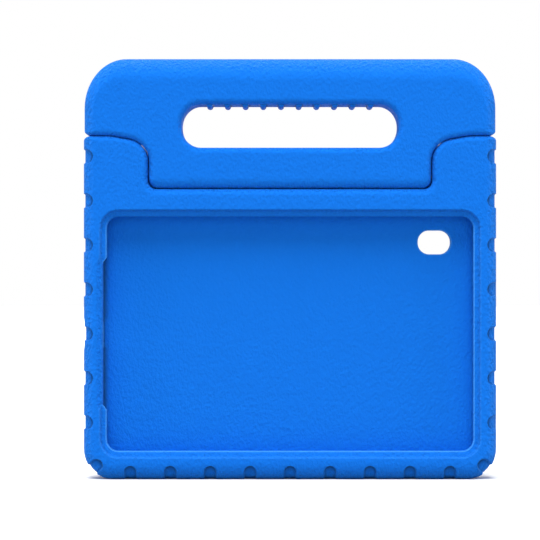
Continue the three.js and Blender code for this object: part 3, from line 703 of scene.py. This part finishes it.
def corner_rim(shell, side, base, cross):
    """Places on the bottom corner's rim, each with the depth of the rounding there"""
    centre = Vector((side * (shell.half_width - shell.corner_across), 0, shell.corner_up))

    def place(inset, aside):
        wide = shell.corner_across - shell.side_edge[0] * inset
        high = shell.corner_up - shell.bottom_edge[0] * inset
        swing = Vector((cross.x * side * wide, -cross.z * high))
        turn = math.acos((aside + cross.dot(base - centre)) / swing.length)
        angle = math.atan2(swing.y, swing.x) + side * turn
        share = angle / (math.pi / 2)
        deep = shell.side_edge[1] * (1 - share) + shell.bottom_edge[1] * share
        return centre + Vector((side * wide * math.cos(angle), 0, -high * math.sin(angle))), deep
    return place


def bed_height(groove, slot, inward_distance, aside, depth):
    """Height of a groove's bed over the rim's surface, from its floor up its soft walls"""
    lift = 0.05 * MM
    past_end = max(inward_distance - slot.reach + slot.half_width, 0)
    away = math.hypot(aside, past_end) - slot.half_width
    if slot.strip:
        away = max(away, slot.strip - abs(depth))
    up = min(max(away / groove.wall + 0.5, 0), 1)
    floor = groove.depth + (groove.end_depth - groove.depth) * min(inward_distance / slot.reach, 1)
    return lift - (floor + lift) * (1 + math.cos(math.pi * up)) / 2


def groove_cutter(base, inward, place, rows, shell, groove, slot):
    """Body whose underside is one groove's soft bed, laid over the rim"""
    lid = 1.6 * MM
    wide = slot.half_width + groove.wall
    columns = math.ceil(2 * wide / GROOVE_GRID)
    grid = []
    for row in rows:
        line = []
        for column in range(columns + 1):
            point, deep = place(row.inset, wide * (2 * column / columns - 1))
            point.y = row.side * (shell.half_thickness - deep * row.turned)
            line.append(point)
        grid.append(line)

    core = base + inward * shell.half_thickness
    rings = []
    for i, line in enumerate(grid):
        before = grid[max(i - 1, 0)]
        after = grid[min(i + 1, len(grid) - 1)]
        bed = []
        lids = []
        for j, point in enumerate(line):
            sideways = line[min(j + 1, columns)] - line[max(j - 1, 0)]
            outward = sideways.cross(after[j] - before[j]).normalized()
            if outward.dot(point - core) < 0:
                outward.negate()
            aside = wide * (2 * j / columns - 1)
            height = bed_height(groove, slot, (point - base).dot(inward), aside, point.y)
            bed.append(point + outward * height)
            lids.append(point + outward * lid)
        rings.append(bed + [lids[-1], lids[0]])
    return loft(rings)


def groove_cutters(shell, groove):
    """All grooves of the rim: up both sides, along the bottom and over its two corners"""
    half = shell.half_thickness
    strip = groove.strip_half_width
    cutters = []

    def cut(base, inward, rounding, slot, side=0):
        cross = Vector((inward.z, 0, -inward.x))
        straight = straight_rim(base, inward, cross, rounding)
        place = corner_rim(shell, side, base, cross) if side else straight
        rows = rim_rows(rounding, half, slot.reach + groove.wall / 2)
        cutters.append(groove_cutter(base, inward, place, rows, shell, groove, slot))

    for k in range(groove.side_count):
        span = shell.shoulder - groove.side_margin - groove.side_first
        z = groove.side_first + span * k / (groove.side_count - 1)
        for side in (-1, 1):
            stripped = side > 0 and k in RIGHT_GROOVES_WITH_STRIP
            slot = Slot(groove.side_half_width, groove.side_reach, strip if stripped else 0)
            cut(Vector((side * shell.half_width, 0, z)), Vector((-side, 0, 0)), shell.side_edge, slot)

    for k in range(groove.bottom_count):
        x = (shell.half_width - groove.bottom_margin) * (2 * k / (groove.bottom_count - 1) - 1)
        slot = Slot(groove.bottom_half_width, groove.bottom_reach, strip)
        cut(Vector((x, 0, 0)), Vector((0, 0, 1)), shell.bottom_edge, slot)

    slant = math.sqrt(0.5)
    for side in (-1, 1):
        base = Vector((
            side * (shell.half_width - shell.corner_across * (1 - slant)),
            0,
            shell.corner_up * (1 - slant),
        ))
        inward = Vector((-side * slant, 0, slant))
        rounding = ((shell.side_edge[0] + shell.bottom_edge[0]) / 2, shell.side_edge[1])
        slot = Slot(groove.corner_half_width, groove.corner_reach, 0)
        cut(base, inward, rounding, slot, side)
    return cutters


def fold_room(shell, handle, pivot):
    """Room that the handle sweeps as it folds back by a quarter turn, seen from its pivot line"""
    outer = shell.half_width + THROUGH
    right = [
        *reversed(seam_corners(shell)),
        even_corner(outer, shell.shoulder, 0),
        even_corner(outer, handle.top, 0),
    ]
    corners = right + mirrored(right)
    reach = shell.half_thickness + pivot.fold_clearance
    folded = prism(corners, -reach, reach, grow=HALF_GAP)
    about = (0, 0, pivot_place.z)
    bmesh.ops.rotate(folded, verts=folded.verts, cent=about, matrix=Matrix.Rotation(-math.pi / 2, 3, "X"))

    insets = [-HALF_GAP] * len(corners)
    depths = [0] * len(corners)
    crest = [p for i in (1, 2) for p in corner_arc(corners, i, insets, depths)]
    wall = shell.half_width - shell.ear_width + HALF_GAP
    profile = [(wall, handle.top)]
    profile += [(p.x, p.z - pivot_place.z) for p in crest]
    profile += [(outer, crest[-1].z - pivot_place.z), (outer, handle.top)]
    over = []
    for side in (-1, 1):
        bm = bmesh.new()
        face = bm.faces.new([bm.verts.new((side * x, 0, radius)) for x, radius in profile])
        bmesh.ops.spin(
            bm, geom=[face], axis=(1, 0, 0), cent=(0, 0, 0), angle=-math.pi / 2, steps=TURN_STEPS // 2,
        )
        bmesh.ops.translate(bm, verts=bm.verts, vec=about)
        bmesh.ops.remove_doubles(bm, verts=bm.verts, dist=MERGE_DISTANCE)
        bmesh.ops.recalc_face_normals(bm, faces=bm.faces)
        over.append(bm)

    below_pivot = pivot_place.z - (shell.shoulder - shell.tongue_depth) - HALF_GAP
    across, deep = handle.tongue_end_edge
    tongue_reach = max(
        math.hypot(
            shell.half_thickness - deep * (1 - math.cos(angle)),
            below_pivot - across * (1 - math.sin(angle)),
        )
        for angle in quarter_turn(EDGE_STEPS)
    )
    radius = tongue_reach + pivot.fold_clearance
    return [folded, *over, round_ended_cylinder(wall, radius, shell.notch_radius)]


def pin_profile(pivot):
    return [
        (-pivot.pin_in_tongue, 0),
        (-pivot.pin_in_tongue, pivot.pin_radius - pivot.pin_chamfer),
        (-pivot.pin_in_tongue + pivot.pin_chamfer, pivot.pin_radius),
        (0, pivot.pin_radius),
        (0, pivot.pin_flange_radius),
        (pivot.pin_flange, pivot.pin_flange_radius),
        (pivot.pin_flange, pivot.pin_radius),
        (pivot.pin_in_ear - pivot.pin_chamfer, pivot.pin_radius),
        (pivot.pin_in_ear, pivot.pin_radius - pivot.pin_chamfer),
        (pivot.pin_in_ear, 0),
    ]


def pin_seat_profile(pivot):
    clear = pivot.seat_clearance
    return [
        (-HALF_GAP, 0),
        (-HALF_GAP, pivot.pin_flange_radius + clear),
        (pivot.pin_flange + clear, pivot.pin_flange_radius + clear),
        (pivot.pin_flange + clear, pivot.pin_radius + clear),
        (pivot.pin_in_ear + clear, pivot.pin_radius + clear),
        (pivot.pin_in_ear + clear, 0),
    ]


def bush_profile(pivot, clear=0.0, bored=True):
    """Bush past the tongue's side wall, or with clear and no bore the seat that it is pressed into"""
    bore = pivot.pin_radius + pivot.seat_clearance
    radius = bore + pivot.bush_wall + clear
    floor = pivot.pin_in_tongue - SEAM_GAP + pivot.seat_clearance
    end = -floor - pivot.bush_wall - clear
    flange = -pivot.bush_flange - clear
    face = 0 if bored else HALF_GAP
    outside = [
        (end, 0),
        (end, radius),
        (flange, radius),
        (flange, pivot.bush_flange_radius + clear),
        (face, pivot.bush_flange_radius + clear),
    ]
    inside = [(0, bore), (-floor, bore), (-floor, 0)] if bored else [(face, 0)]
    return outside + inside


def finger_ridges(shell, handle, middle):
    """Ridges that hang from the top of the grip hole, fading out at the front and the back"""
    top = middle + handle.grip_half_height
    reach = shell.half_thickness - handle.grip_edge[1]
    end = handle.ridge_end
    angles = quarter_turn(RIDGE_END_STEPS)
    sections = [(math.sin(a), -reach - end + 2 * end * (1 - math.cos(a))) for a in angles]
    sections += [(math.cos(a), reach - end + 2 * end * math.sin(a)) for a in angles]
    ridges = []
    for k in range(handle.ridge_count):
        x = handle.ridge_pitch * (k - (handle.ridge_count - 1) / 2)
        rings = [ridge_ring(x, top, depth, max(size, SMALLEST_RIDGE), handle) for size, depth in sections]
        ridges.append(loft(rings))
    return ridges


def ridge_ring(x, top, depth, size, handle):
    """Section of one ridge: a domed tip below the hole's top, and a root above it"""
    half = handle.ridge_half_width
    root = 1.2 * MM
    points = []
    for k in range(RIDGE_STEPS + 1):
        t = 2 * k / RIDGE_STEPS - 1
        dome = math.sqrt(max(1 - t * t, 0))
        points.append(Vector((x + half * t, depth, top - handle.ridge_height * dome * size)))
    points.append(Vector((x + half, depth, top + root)))
    points.append(Vector((x - half, depth, top + root)))
    return points


def handle_slab(shell, handle):
    outer, bend, notch = seam_corners(shell)
    root = even_corner(bend.x, bend.z, shell.root_radius + handle.root_ease)
    tongue = even_corner(notch.x, notch.z, handle.tongue_radius)
    right = [
        tongue, root, outer,
        Corner(handle.half_width, shell.shoulder, shell.shoulder_across, shell.shoulder_up),
        Corner(handle.half_width, handle.top, handle.corner_down, handle.corner_across),
    ]
    side = [handle.tongue_side_edge, shell.shoulder_edge, shell.shoulder_edge, shell.side_edge]
    edges = [*side, handle.top_edge, *reversed(side), handle.tongue_end_edge]
    beside_tongue = HALF_GAP + handle.tongue_slack
    insets = [beside_tongue, HALF_GAP, HALF_GAP, 0, 0, 0, HALF_GAP, HALF_GAP, beside_tongue, HALF_GAP]
    return rounded_slab(right + mirrored(right), edges, insets, shell.half_thickness)


def add_node(tree, kind, settings=None, inputs=None):
    """Add one shader node with its settings and its inputs, each a value or another node's output"""
    node = tree.nodes.new(kind)
    for name, value in (settings or {}).items():
        setattr(node, name, value)
    for name, value in (inputs or {}).items():
        if isinstance(value, bpy.types.NodeSocket):
            tree.links.new(value, node.inputs[name])
        else:
            node.inputs[name].default_value = value
    return node


def reckon(tree, operation, *values):
    """Result of one sum on values or other nodes' outputs"""
    return add_node(tree, "ShaderNodeMath", {"operation": operation}, dict(enumerate(values))).outputs[0]


def ramp(tree, value, within, onto=(0.0, 1.0)):
    """Result that runs over one pair of numbers while a value runs over another"""
    names = ("Value", "From Min", "From Max", "To Min", "To Max")
    inputs = dict(zip(names, (value, *within, *onto)))
    return add_node(tree, "ShaderNodeMapRange", inputs=inputs).outputs["Result"]


def blend(tree, share, under, over):
    """Colour that goes over from one to another as the share grows"""
    inputs = {0: share, 6: under, 7: over}
    return add_node(tree, "ShaderNodeMix", {"data_type": "RGBA"}, inputs).outputs[2]


def noise(tree, place, size, detail, roughness=0.5):
    """Cloudy pattern with patches of about this size"""
    inputs = {"Vector": place, "Scale": 1 / size, "Detail": detail, "Roughness": roughness}
    return add_node(tree, "ShaderNodeTexNoise", inputs=inputs).outputs["Fac"]


def openness(tree, distance, inside):
    """How free of other surfaces a place is within a distance, outside the body or inside it"""
    settings = {"inside": inside, "only_local": True, "samples": 8}
    return add_node(tree, "ShaderNodeAmbientOcclusion", settings, {"Distance": distance}).outputs["AO"]


def new_material(name):
    """Empty material with its node tree and output"""
    material = bpy.data.materials.new(name)
    material.use_nodes = True
    tree = material.node_tree
    tree.nodes.clear()
    return material, tree, tree.nodes.new("ShaderNodeOutputMaterial")


# Outer lines of the window's lip, whose edges get a painted highlight
Lip = namedtuple("Lip", "half_width foot top")


def lip_highlight(tree, place, finish, lip):
    """Share of painted highlight: on convex edges of the window's lip only, less towards its top edge,
    which the light above leaves in shade
    """
    body_near = openness(tree, finish.edge_width, inside=True)
    lit_edge = ramp(tree, body_near, within=(0.65, 0.97), onto=(0.9, 0.0))
    part = add_node(tree, "ShaderNodeSeparateXYZ", inputs={0: place})
    across = reckon(tree, "ABSOLUTE", part.outputs["X"])
    up = part.outputs["Z"]
    beside_rim = ramp(tree, across, within=(lip.half_width, lip.half_width + LIP_FADE), onto=(1.0, 0.0))
    above_foot = ramp(tree, up, within=(lip.foot, lip.foot + LIP_FADE))
    below_top = ramp(tree, up, within=(lip.top - LIP_TOP_FADE, lip.top), onto=(1.0, 0.0))
    at_lip = reckon(tree, "MULTIPLY", reckon(tree, "MULTIPLY", beside_rim, above_foot), below_top)
    return reckon(tree, "MULTIPLY", at_lip, lit_edge)


def foam_grain(tree, coordinates, finish):
    """Slanted leathery cells with tiny pits, weaker on the broad faces than on the rims"""
    place = coordinates.outputs["Object"]
    slanted = add_node(
        tree, "ShaderNodeMapping",
        inputs={"Vector": place, "Rotation": (0, math.radians(35), 0), "Scale": (1, 1, 0.7)},
    )
    cells = add_node(
        tree, "ShaderNodeTexVoronoi",
        settings={"feature": "SMOOTH_F1"},
        inputs={
            "Vector": slanted.outputs["Vector"], "Scale": 1 / finish.grain,
            "Smoothness": 0.35, "Detail": 1.0, "Roughness": 0.6,
        },
    )
    pits = noise(tree, place, finish.pore, detail=2.0, roughness=0.65)
    facing = add_node(tree, "ShaderNodeSeparateXYZ", inputs={0: coordinates.outputs["Normal"]})
    faced = reckon(tree, "ABSOLUTE", facing.outputs["Y"])
    soft_edge = add_node(tree, "ShaderNodeBevel", {"samples": 6}, {"Radius": finish.softness})
    bump = add_node(
        tree, "ShaderNodeBump",
        inputs={
            "Strength": ramp(tree, faced, within=(0.8, 1.0), onto=(1.0, 0.35)),
            "Distance": finish.grain_height,
            "Height": reckon(tree, "MULTIPLY_ADD", pits, 0.5, cells.outputs["Distance"]),
            "Normal": soft_edge.outputs["Normal"],
        },
    )
    return bump.outputs["Normal"]


def moulded_eva_foam(finish, lip):
    """Closed-cell EVA foam pressed hot in a mould: a matte skin with a fine leathery grain, tiny
    pits and a faint cloudiness of its blue, a painted highlight along the lip's edges and painted
    shade in grooves and steps, with no sharp edge anywhere"""
    material, tree, output = new_material("moulded_eva_foam")
    coordinates = add_node(tree, "ShaderNodeTexCoord")
    place = coordinates.outputs["Object"]
    cloud = noise(tree, place, finish.cloud, detail=3.0, roughness=0.6)
    clouded = blend(tree, cloud, (*finish.foam_shade, 1), (*finish.foam, 1))
    # Painted shade: the blue goes over to a duller, darker one where the piece's own walls stand close
    open_air = openness(tree, finish.hollow_shade_reach, inside=False)
    hollow = ramp(tree, open_air, within=(0.5, 0.97), onto=(0.85, 0.0))
    hollow_shaded = blend(tree, hollow, clouded, (*finish.foam_hollow_shade, 1))
    # Painted highlight: paler blue along the convex edges of the window's lip
    highlit = blend(tree, lip_highlight(tree, place, finish, lip), hollow_shaded, (*finish.foam_edge_highlight, 1))
    sheen = (*finish.foam_sheen, 1)
    skin = add_node(
        tree, "ShaderNodeBsdfPrincipled",
        inputs={
            "Base Color": highlit, "Normal": foam_grain(tree, coordinates, finish),
            "Roughness": 0.6, "IOR": 1.45, "Specular IOR Level": 0.35, "Specular Tint": sheen,
            "Sheen Weight": 0.12, "Sheen Roughness": 0.5, "Sheen Tint": sheen,
        },
    )
    tree.links.new(skin.outputs["BSDF"], output.inputs["Surface"])
    return material


def moulded_plastic(name, colour, roughness):
    """Hard plastic from a polished mould: an even colour, a soft gloss and a faint ripple"""
    material, tree, output = new_material(name)
    place = add_node(tree, "ShaderNodeTexCoord").outputs["Object"]
    ripple = noise(tree, place, 2.5 * MM, detail=2.0)
    bump = add_node(
        tree, "ShaderNodeBump",
        inputs={"Strength": 0.4, "Distance": 0.02 * MM, "Height": ripple},
    )
    body = add_node(
        tree, "ShaderNodeBsdfPrincipled",
        inputs={
            "Base Color": (*colour, 1), "Roughness": roughness, "IOR": 1.5,
            "Normal": bump.outputs["Normal"],
        },
    )
    tree.links.new(body.outputs["BSDF"], output.inputs["Surface"])
    return material


def dress(piece, material, slot, body, *nodes):
    """Give a piece its material and let it ride on its body in place of its CAD nodes; the slot is not
    used
    """
    piece.data.materials.clear()
    piece.data.materials.append(material)
    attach(piece, body)
    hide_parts(*nodes)


class CASE_OT_shell(bpy.types.Operator):
    """Model the foam shell with its window, pocket, openings and rim grooves"""

    bl_idname = "tablet_case.shell"
    bl_label = "Foam shell"

    def execute(self, context):
        sizes = context.scene.tablet_case
        shell, pocket = sizes.shell, sizes.pocket
        bed = tablet_bed(shell, pocket)
        pocket_corners = rectangle(0, bed.middle, bed.half_width, pocket.height / 2, pocket.radius)
        seats = pin_seat_profile(sizes.pivot)
        ear_wall = shell.half_width - shell.ear_width + HALF_GAP

        piece = new_piece("foam_shell", shell_slab(shell))
        carve(piece, [
            window_cutter(shell, pocket, bed),
            prism(pocket_corners, bed.front, bed.floor),
            relief_cutter(shell, pocket, bed),
            *back_cutters(shell, pocket, bed),
            port_cutter(shell, pocket, bed),
            *groove_cutters(shell, sizes.groove),
            *fold_room(shell, sizes.handle, sizes.pivot),
            turned(seats, ear_wall, -1),
            turned(seats, ear_wall, 1),
        ])
        smooth(piece)
        dress(piece, bpy.data.materials["moulded_eva_foam"], "blue_foam", "case", "case_shell")
        return {"FINISHED"}


class CASE_OT_handle(bpy.types.Operator):
    """Model the foam handle with its tongue, grip hole and finger ridges"""

    bl_idname = "tablet_case.handle"
    bl_label = "Carrying handle"

    def execute(self, context):
        sizes = context.scene.tablet_case
        shell, handle = sizes.shell, sizes.handle
        middle = shell.shoulder + handle.grip_above
        grip = rectangle(
            0, middle, handle.grip_half_length, handle.grip_half_height,
            handle.grip_end, handle.grip_half_height - SMALLEST_RADIUS,
        )
        seats = bush_profile(sizes.pivot, sizes.pivot.seat_clearance, bored=False)
        tongue_wall = shell.half_width - shell.ear_width - HALF_GAP

        piece = new_piece("foam_handle", handle_slab(shell, handle))
        barrel_radius = shell.half_thickness - sizes.pivot.barrel_below
        carve(piece, [round_ended_cylinder(tongue_wall, barrel_radius, sizes.pivot.barrel_end)], "UNION")
        carve(piece, [
            rounded_hole(grip, handle.grip_edge, shell.half_thickness),
            turned(seats, tongue_wall, -1),
            turned(seats, tongue_wall, 1),
        ])
        carve(piece, finger_ridges(shell, handle, middle), "UNION")
        smooth(piece)
        dress(piece, bpy.data.materials["moulded_eva_foam"], "blue_foam", "handle", "carry_handle")
        return {"FINISHED"}


class CASE_OT_pivots(bpy.types.Operator):
    """Turn the two pins in the ears and the two bushes in the tongue"""

    bl_idname = "tablet_case.pivots"
    bl_label = "Pivot pins and bushes"

    def execute(self, context):
        sizes = context.scene.tablet_case
        tongue = sizes.shell.half_width - sizes.shell.ear_width
        nylon = moulded_plastic("moulded_nylon", sizes.finish.nylon, roughness=0.45)
        acetal = moulded_plastic("moulded_acetal", sizes.finish.acetal, roughness=0.38)
        for side, word in ((-1, "left"), (1, "right")):
            pin = new_piece(f"nylon_pin_{word}", turned(pin_profile(sizes.pivot), tongue + HALF_GAP, side))
            smooth(pin, sharp_degrees=30)
            dress(pin, nylon, "pin_plastic", "case", f"pivot_pin_{word}")
            bushing = turned(bush_profile(sizes.pivot), tongue - HALF_GAP, side)
            bush = new_piece(f"acetal_bush_{word}", bushing)
            smooth(bush, sharp_degrees=30)
            dress(bush, acetal, "bush_plastic", "handle", f"pivot_bush_{word}")
        return {"FINISHED"}


class CASE_OT_foam(bpy.types.Operator):
    """Make the foam's material"""

    bl_idname = "tablet_case.foam"
    bl_label = "Moulded foam"

    def execute(self, context):
        sizes = context.scene.tablet_case
        pocket = sizes.pocket
        bed = tablet_bed(sizes.shell, pocket)
        lip = Lip(
            half_width=bed.window_half_width + pocket.frame_width,
            foot=bed.middle - bed.window_half_height - pocket.frame_width - LIP_FADE,
            top=bed.middle + bed.window_half_height,
        )
        moulded_eva_foam(sizes.finish, lip)
        return {"FINISHED"}


class CASE_OT_stage(bpy.types.Operator):
    """Lay the pale floor, light the case softly and set the camera up"""

    bl_idname = "tablet_case.stage"
    bl_label = "Stage, light and camera"

    def execute(self, context):
        studio = context.scene.tablet_case.studio
        self.lay_floor()
        self.light_world(context.scene, studio)
        self.add_sun("front_light", studio.front, height=8, around=0, glossy=False)
        self.add_sun("light_above", studio.above, height=70, around=-10, glossy=False)
        self.add_sun("left_light", studio.sides, height=12, around=-84)
        self.add_sun("right_light", studio.sides, height=12, around=84)
        self.add_sun("back_light", studio.back, height=10, around=170)
        self.add_sun("light_above_back", studio.back_above, height=62, around=190)
        self.add_camera(context.scene, studio)
        context.scene.view_settings.view_transform = "Standard"
        return {"FINISHED"}

    def lay_floor(self):
        """Pale card that shows white to the camera and keeps the case's shadow"""
        bm = bmesh.new()
        bmesh.ops.create_grid(bm, x_segments=1, y_segments=1, size=CARD_HALF_SIZE)
        floor = new_piece("floor", bm)
        material, tree, output = new_material("pale_card")
        card = add_node(tree, "ShaderNodeBsdfDiffuse", inputs={"Color": CARD_GREY})
        shown = add_node(tree, "ShaderNodeBsdfDiffuse", inputs={"Color": CARD_SEEN})
        path = add_node(tree, "ShaderNodeLightPath")
        mix = add_node(
            tree, "ShaderNodeMixShader",
            inputs={0: path.outputs["Is Camera Ray"], 1: card.outputs[0], 2: shown.outputs[0]},
        )
        tree.links.new(mix.outputs[0], output.inputs["Surface"])
        floor.data.materials.append(material)

    def light_world(self, scene, studio):
        """Even light from all around, which the camera sees as plain white"""
        world = bpy.data.worlds.new("studio")
        world.use_nodes = True
        tree = world.node_tree
        tree.nodes.clear()
        ambient, white = (
            add_node(tree, "ShaderNodeBackground", inputs={"Color": WHITE, "Strength": strength})
            for strength in (studio.ambient, 1.0)
        )
        path = add_node(tree, "ShaderNodeLightPath")
        seen = reckon(tree, "MAXIMUM", path.outputs["Is Camera Ray"], path.outputs["Is Transmission Ray"])
        mix = add_node(
            tree, "ShaderNodeMixShader",
            inputs={0: seen, 1: ambient.outputs[0], 2: white.outputs[0]},
        )
        output = add_node(tree, "ShaderNodeOutputWorld", inputs={"Surface": mix.outputs[0]})
        output.is_active_output = True
        scene.world = world

    def add_sun(self, name, share, height, around, glossy=True):
        """Broad soft light from a height and a side in degrees, where 0 is the camera's side

        A share of 1 shows a surface that faces it at its own colour.
        """
        sun = bpy.data.lights.new(name, "SUN")
        sun.energy = share * math.pi
        sun.angle = SUN_SPREAD
        lamp = bpy.data.objects.new(name, sun)
        lamp.rotation_euler = (math.radians(90 - height), 0, math.radians(around))
        lamp.visible_glossy = glossy
        bpy.context.scene.collection.objects.link(lamp)

    def add_camera(self, scene, studio):
        """Level camera straight in front, on a long lens"""
        sides_plane = -5 * MM
        camera = bpy.data.cameras.new("camera")
        camera.sensor_width = 36.0
        camera.lens = camera.sensor_width * studio.distance / studio.view_width
        camera.clip_end = 50.0
        view = bpy.data.objects.new("camera", camera)
        view.location = (studio.camera_x, sides_plane - studio.distance, studio.camera_z)
        view.rotation_euler = (math.pi / 2, 0, 0)
        scene.collection.objects.link(view)
        scene.camera = view


class CASE_PT_panel(bpy.types.Panel):
    """Sidebar panel with the case's pieces and sizes"""

    bl_idname = "CASE_PT_panel"
    bl_label = "Tablet case"
    bl_space_type = "VIEW_3D"
    bl_region_type = "UI"
    bl_category = "Tablet case"

    def draw(self, context):
        for operator in OPERATORS:
            self.layout.operator(operator.bl_idname)
        sizes = context.scene.tablet_case
        for name in ("shell", "pocket", "groove", "handle", "pivot", "finish", "studio"):
            box = self.layout.box()
            group = getattr(sizes, name)
            box.label(text=name.capitalize())
            for field in group.__annotations__:
                box.prop(group, field)


OPERATORS = (CASE_OT_foam, CASE_OT_shell, CASE_OT_handle, CASE_OT_pivots, CASE_OT_stage)
GROUPS = (ShellSizes, PocketSizes, GrooveSizes, HandleSizes, PivotSizes, Finish, Studio, TabletCase)


def register():
    for cls in (*GROUPS, *OPERATORS, CASE_PT_panel):
        bpy.utils.register_class(cls)
    bpy.types.Scene.tablet_case = bpy.props.PointerProperty(type=TabletCase)


def unregister():
    del bpy.types.Scene.tablet_case
    for cls in reversed((*GROUPS, *OPERATORS, CASE_PT_panel)):
        bpy.utils.unregister_class(cls)


def main():
    register()
    bpy.ops.tablet_case.foam()
    bpy.ops.tablet_case.shell()
    bpy.ops.tablet_case.handle()
    bpy.ops.tablet_case.pivots()
    bpy.ops.tablet_case.stage()


if __name__ == "__main__":
    main()
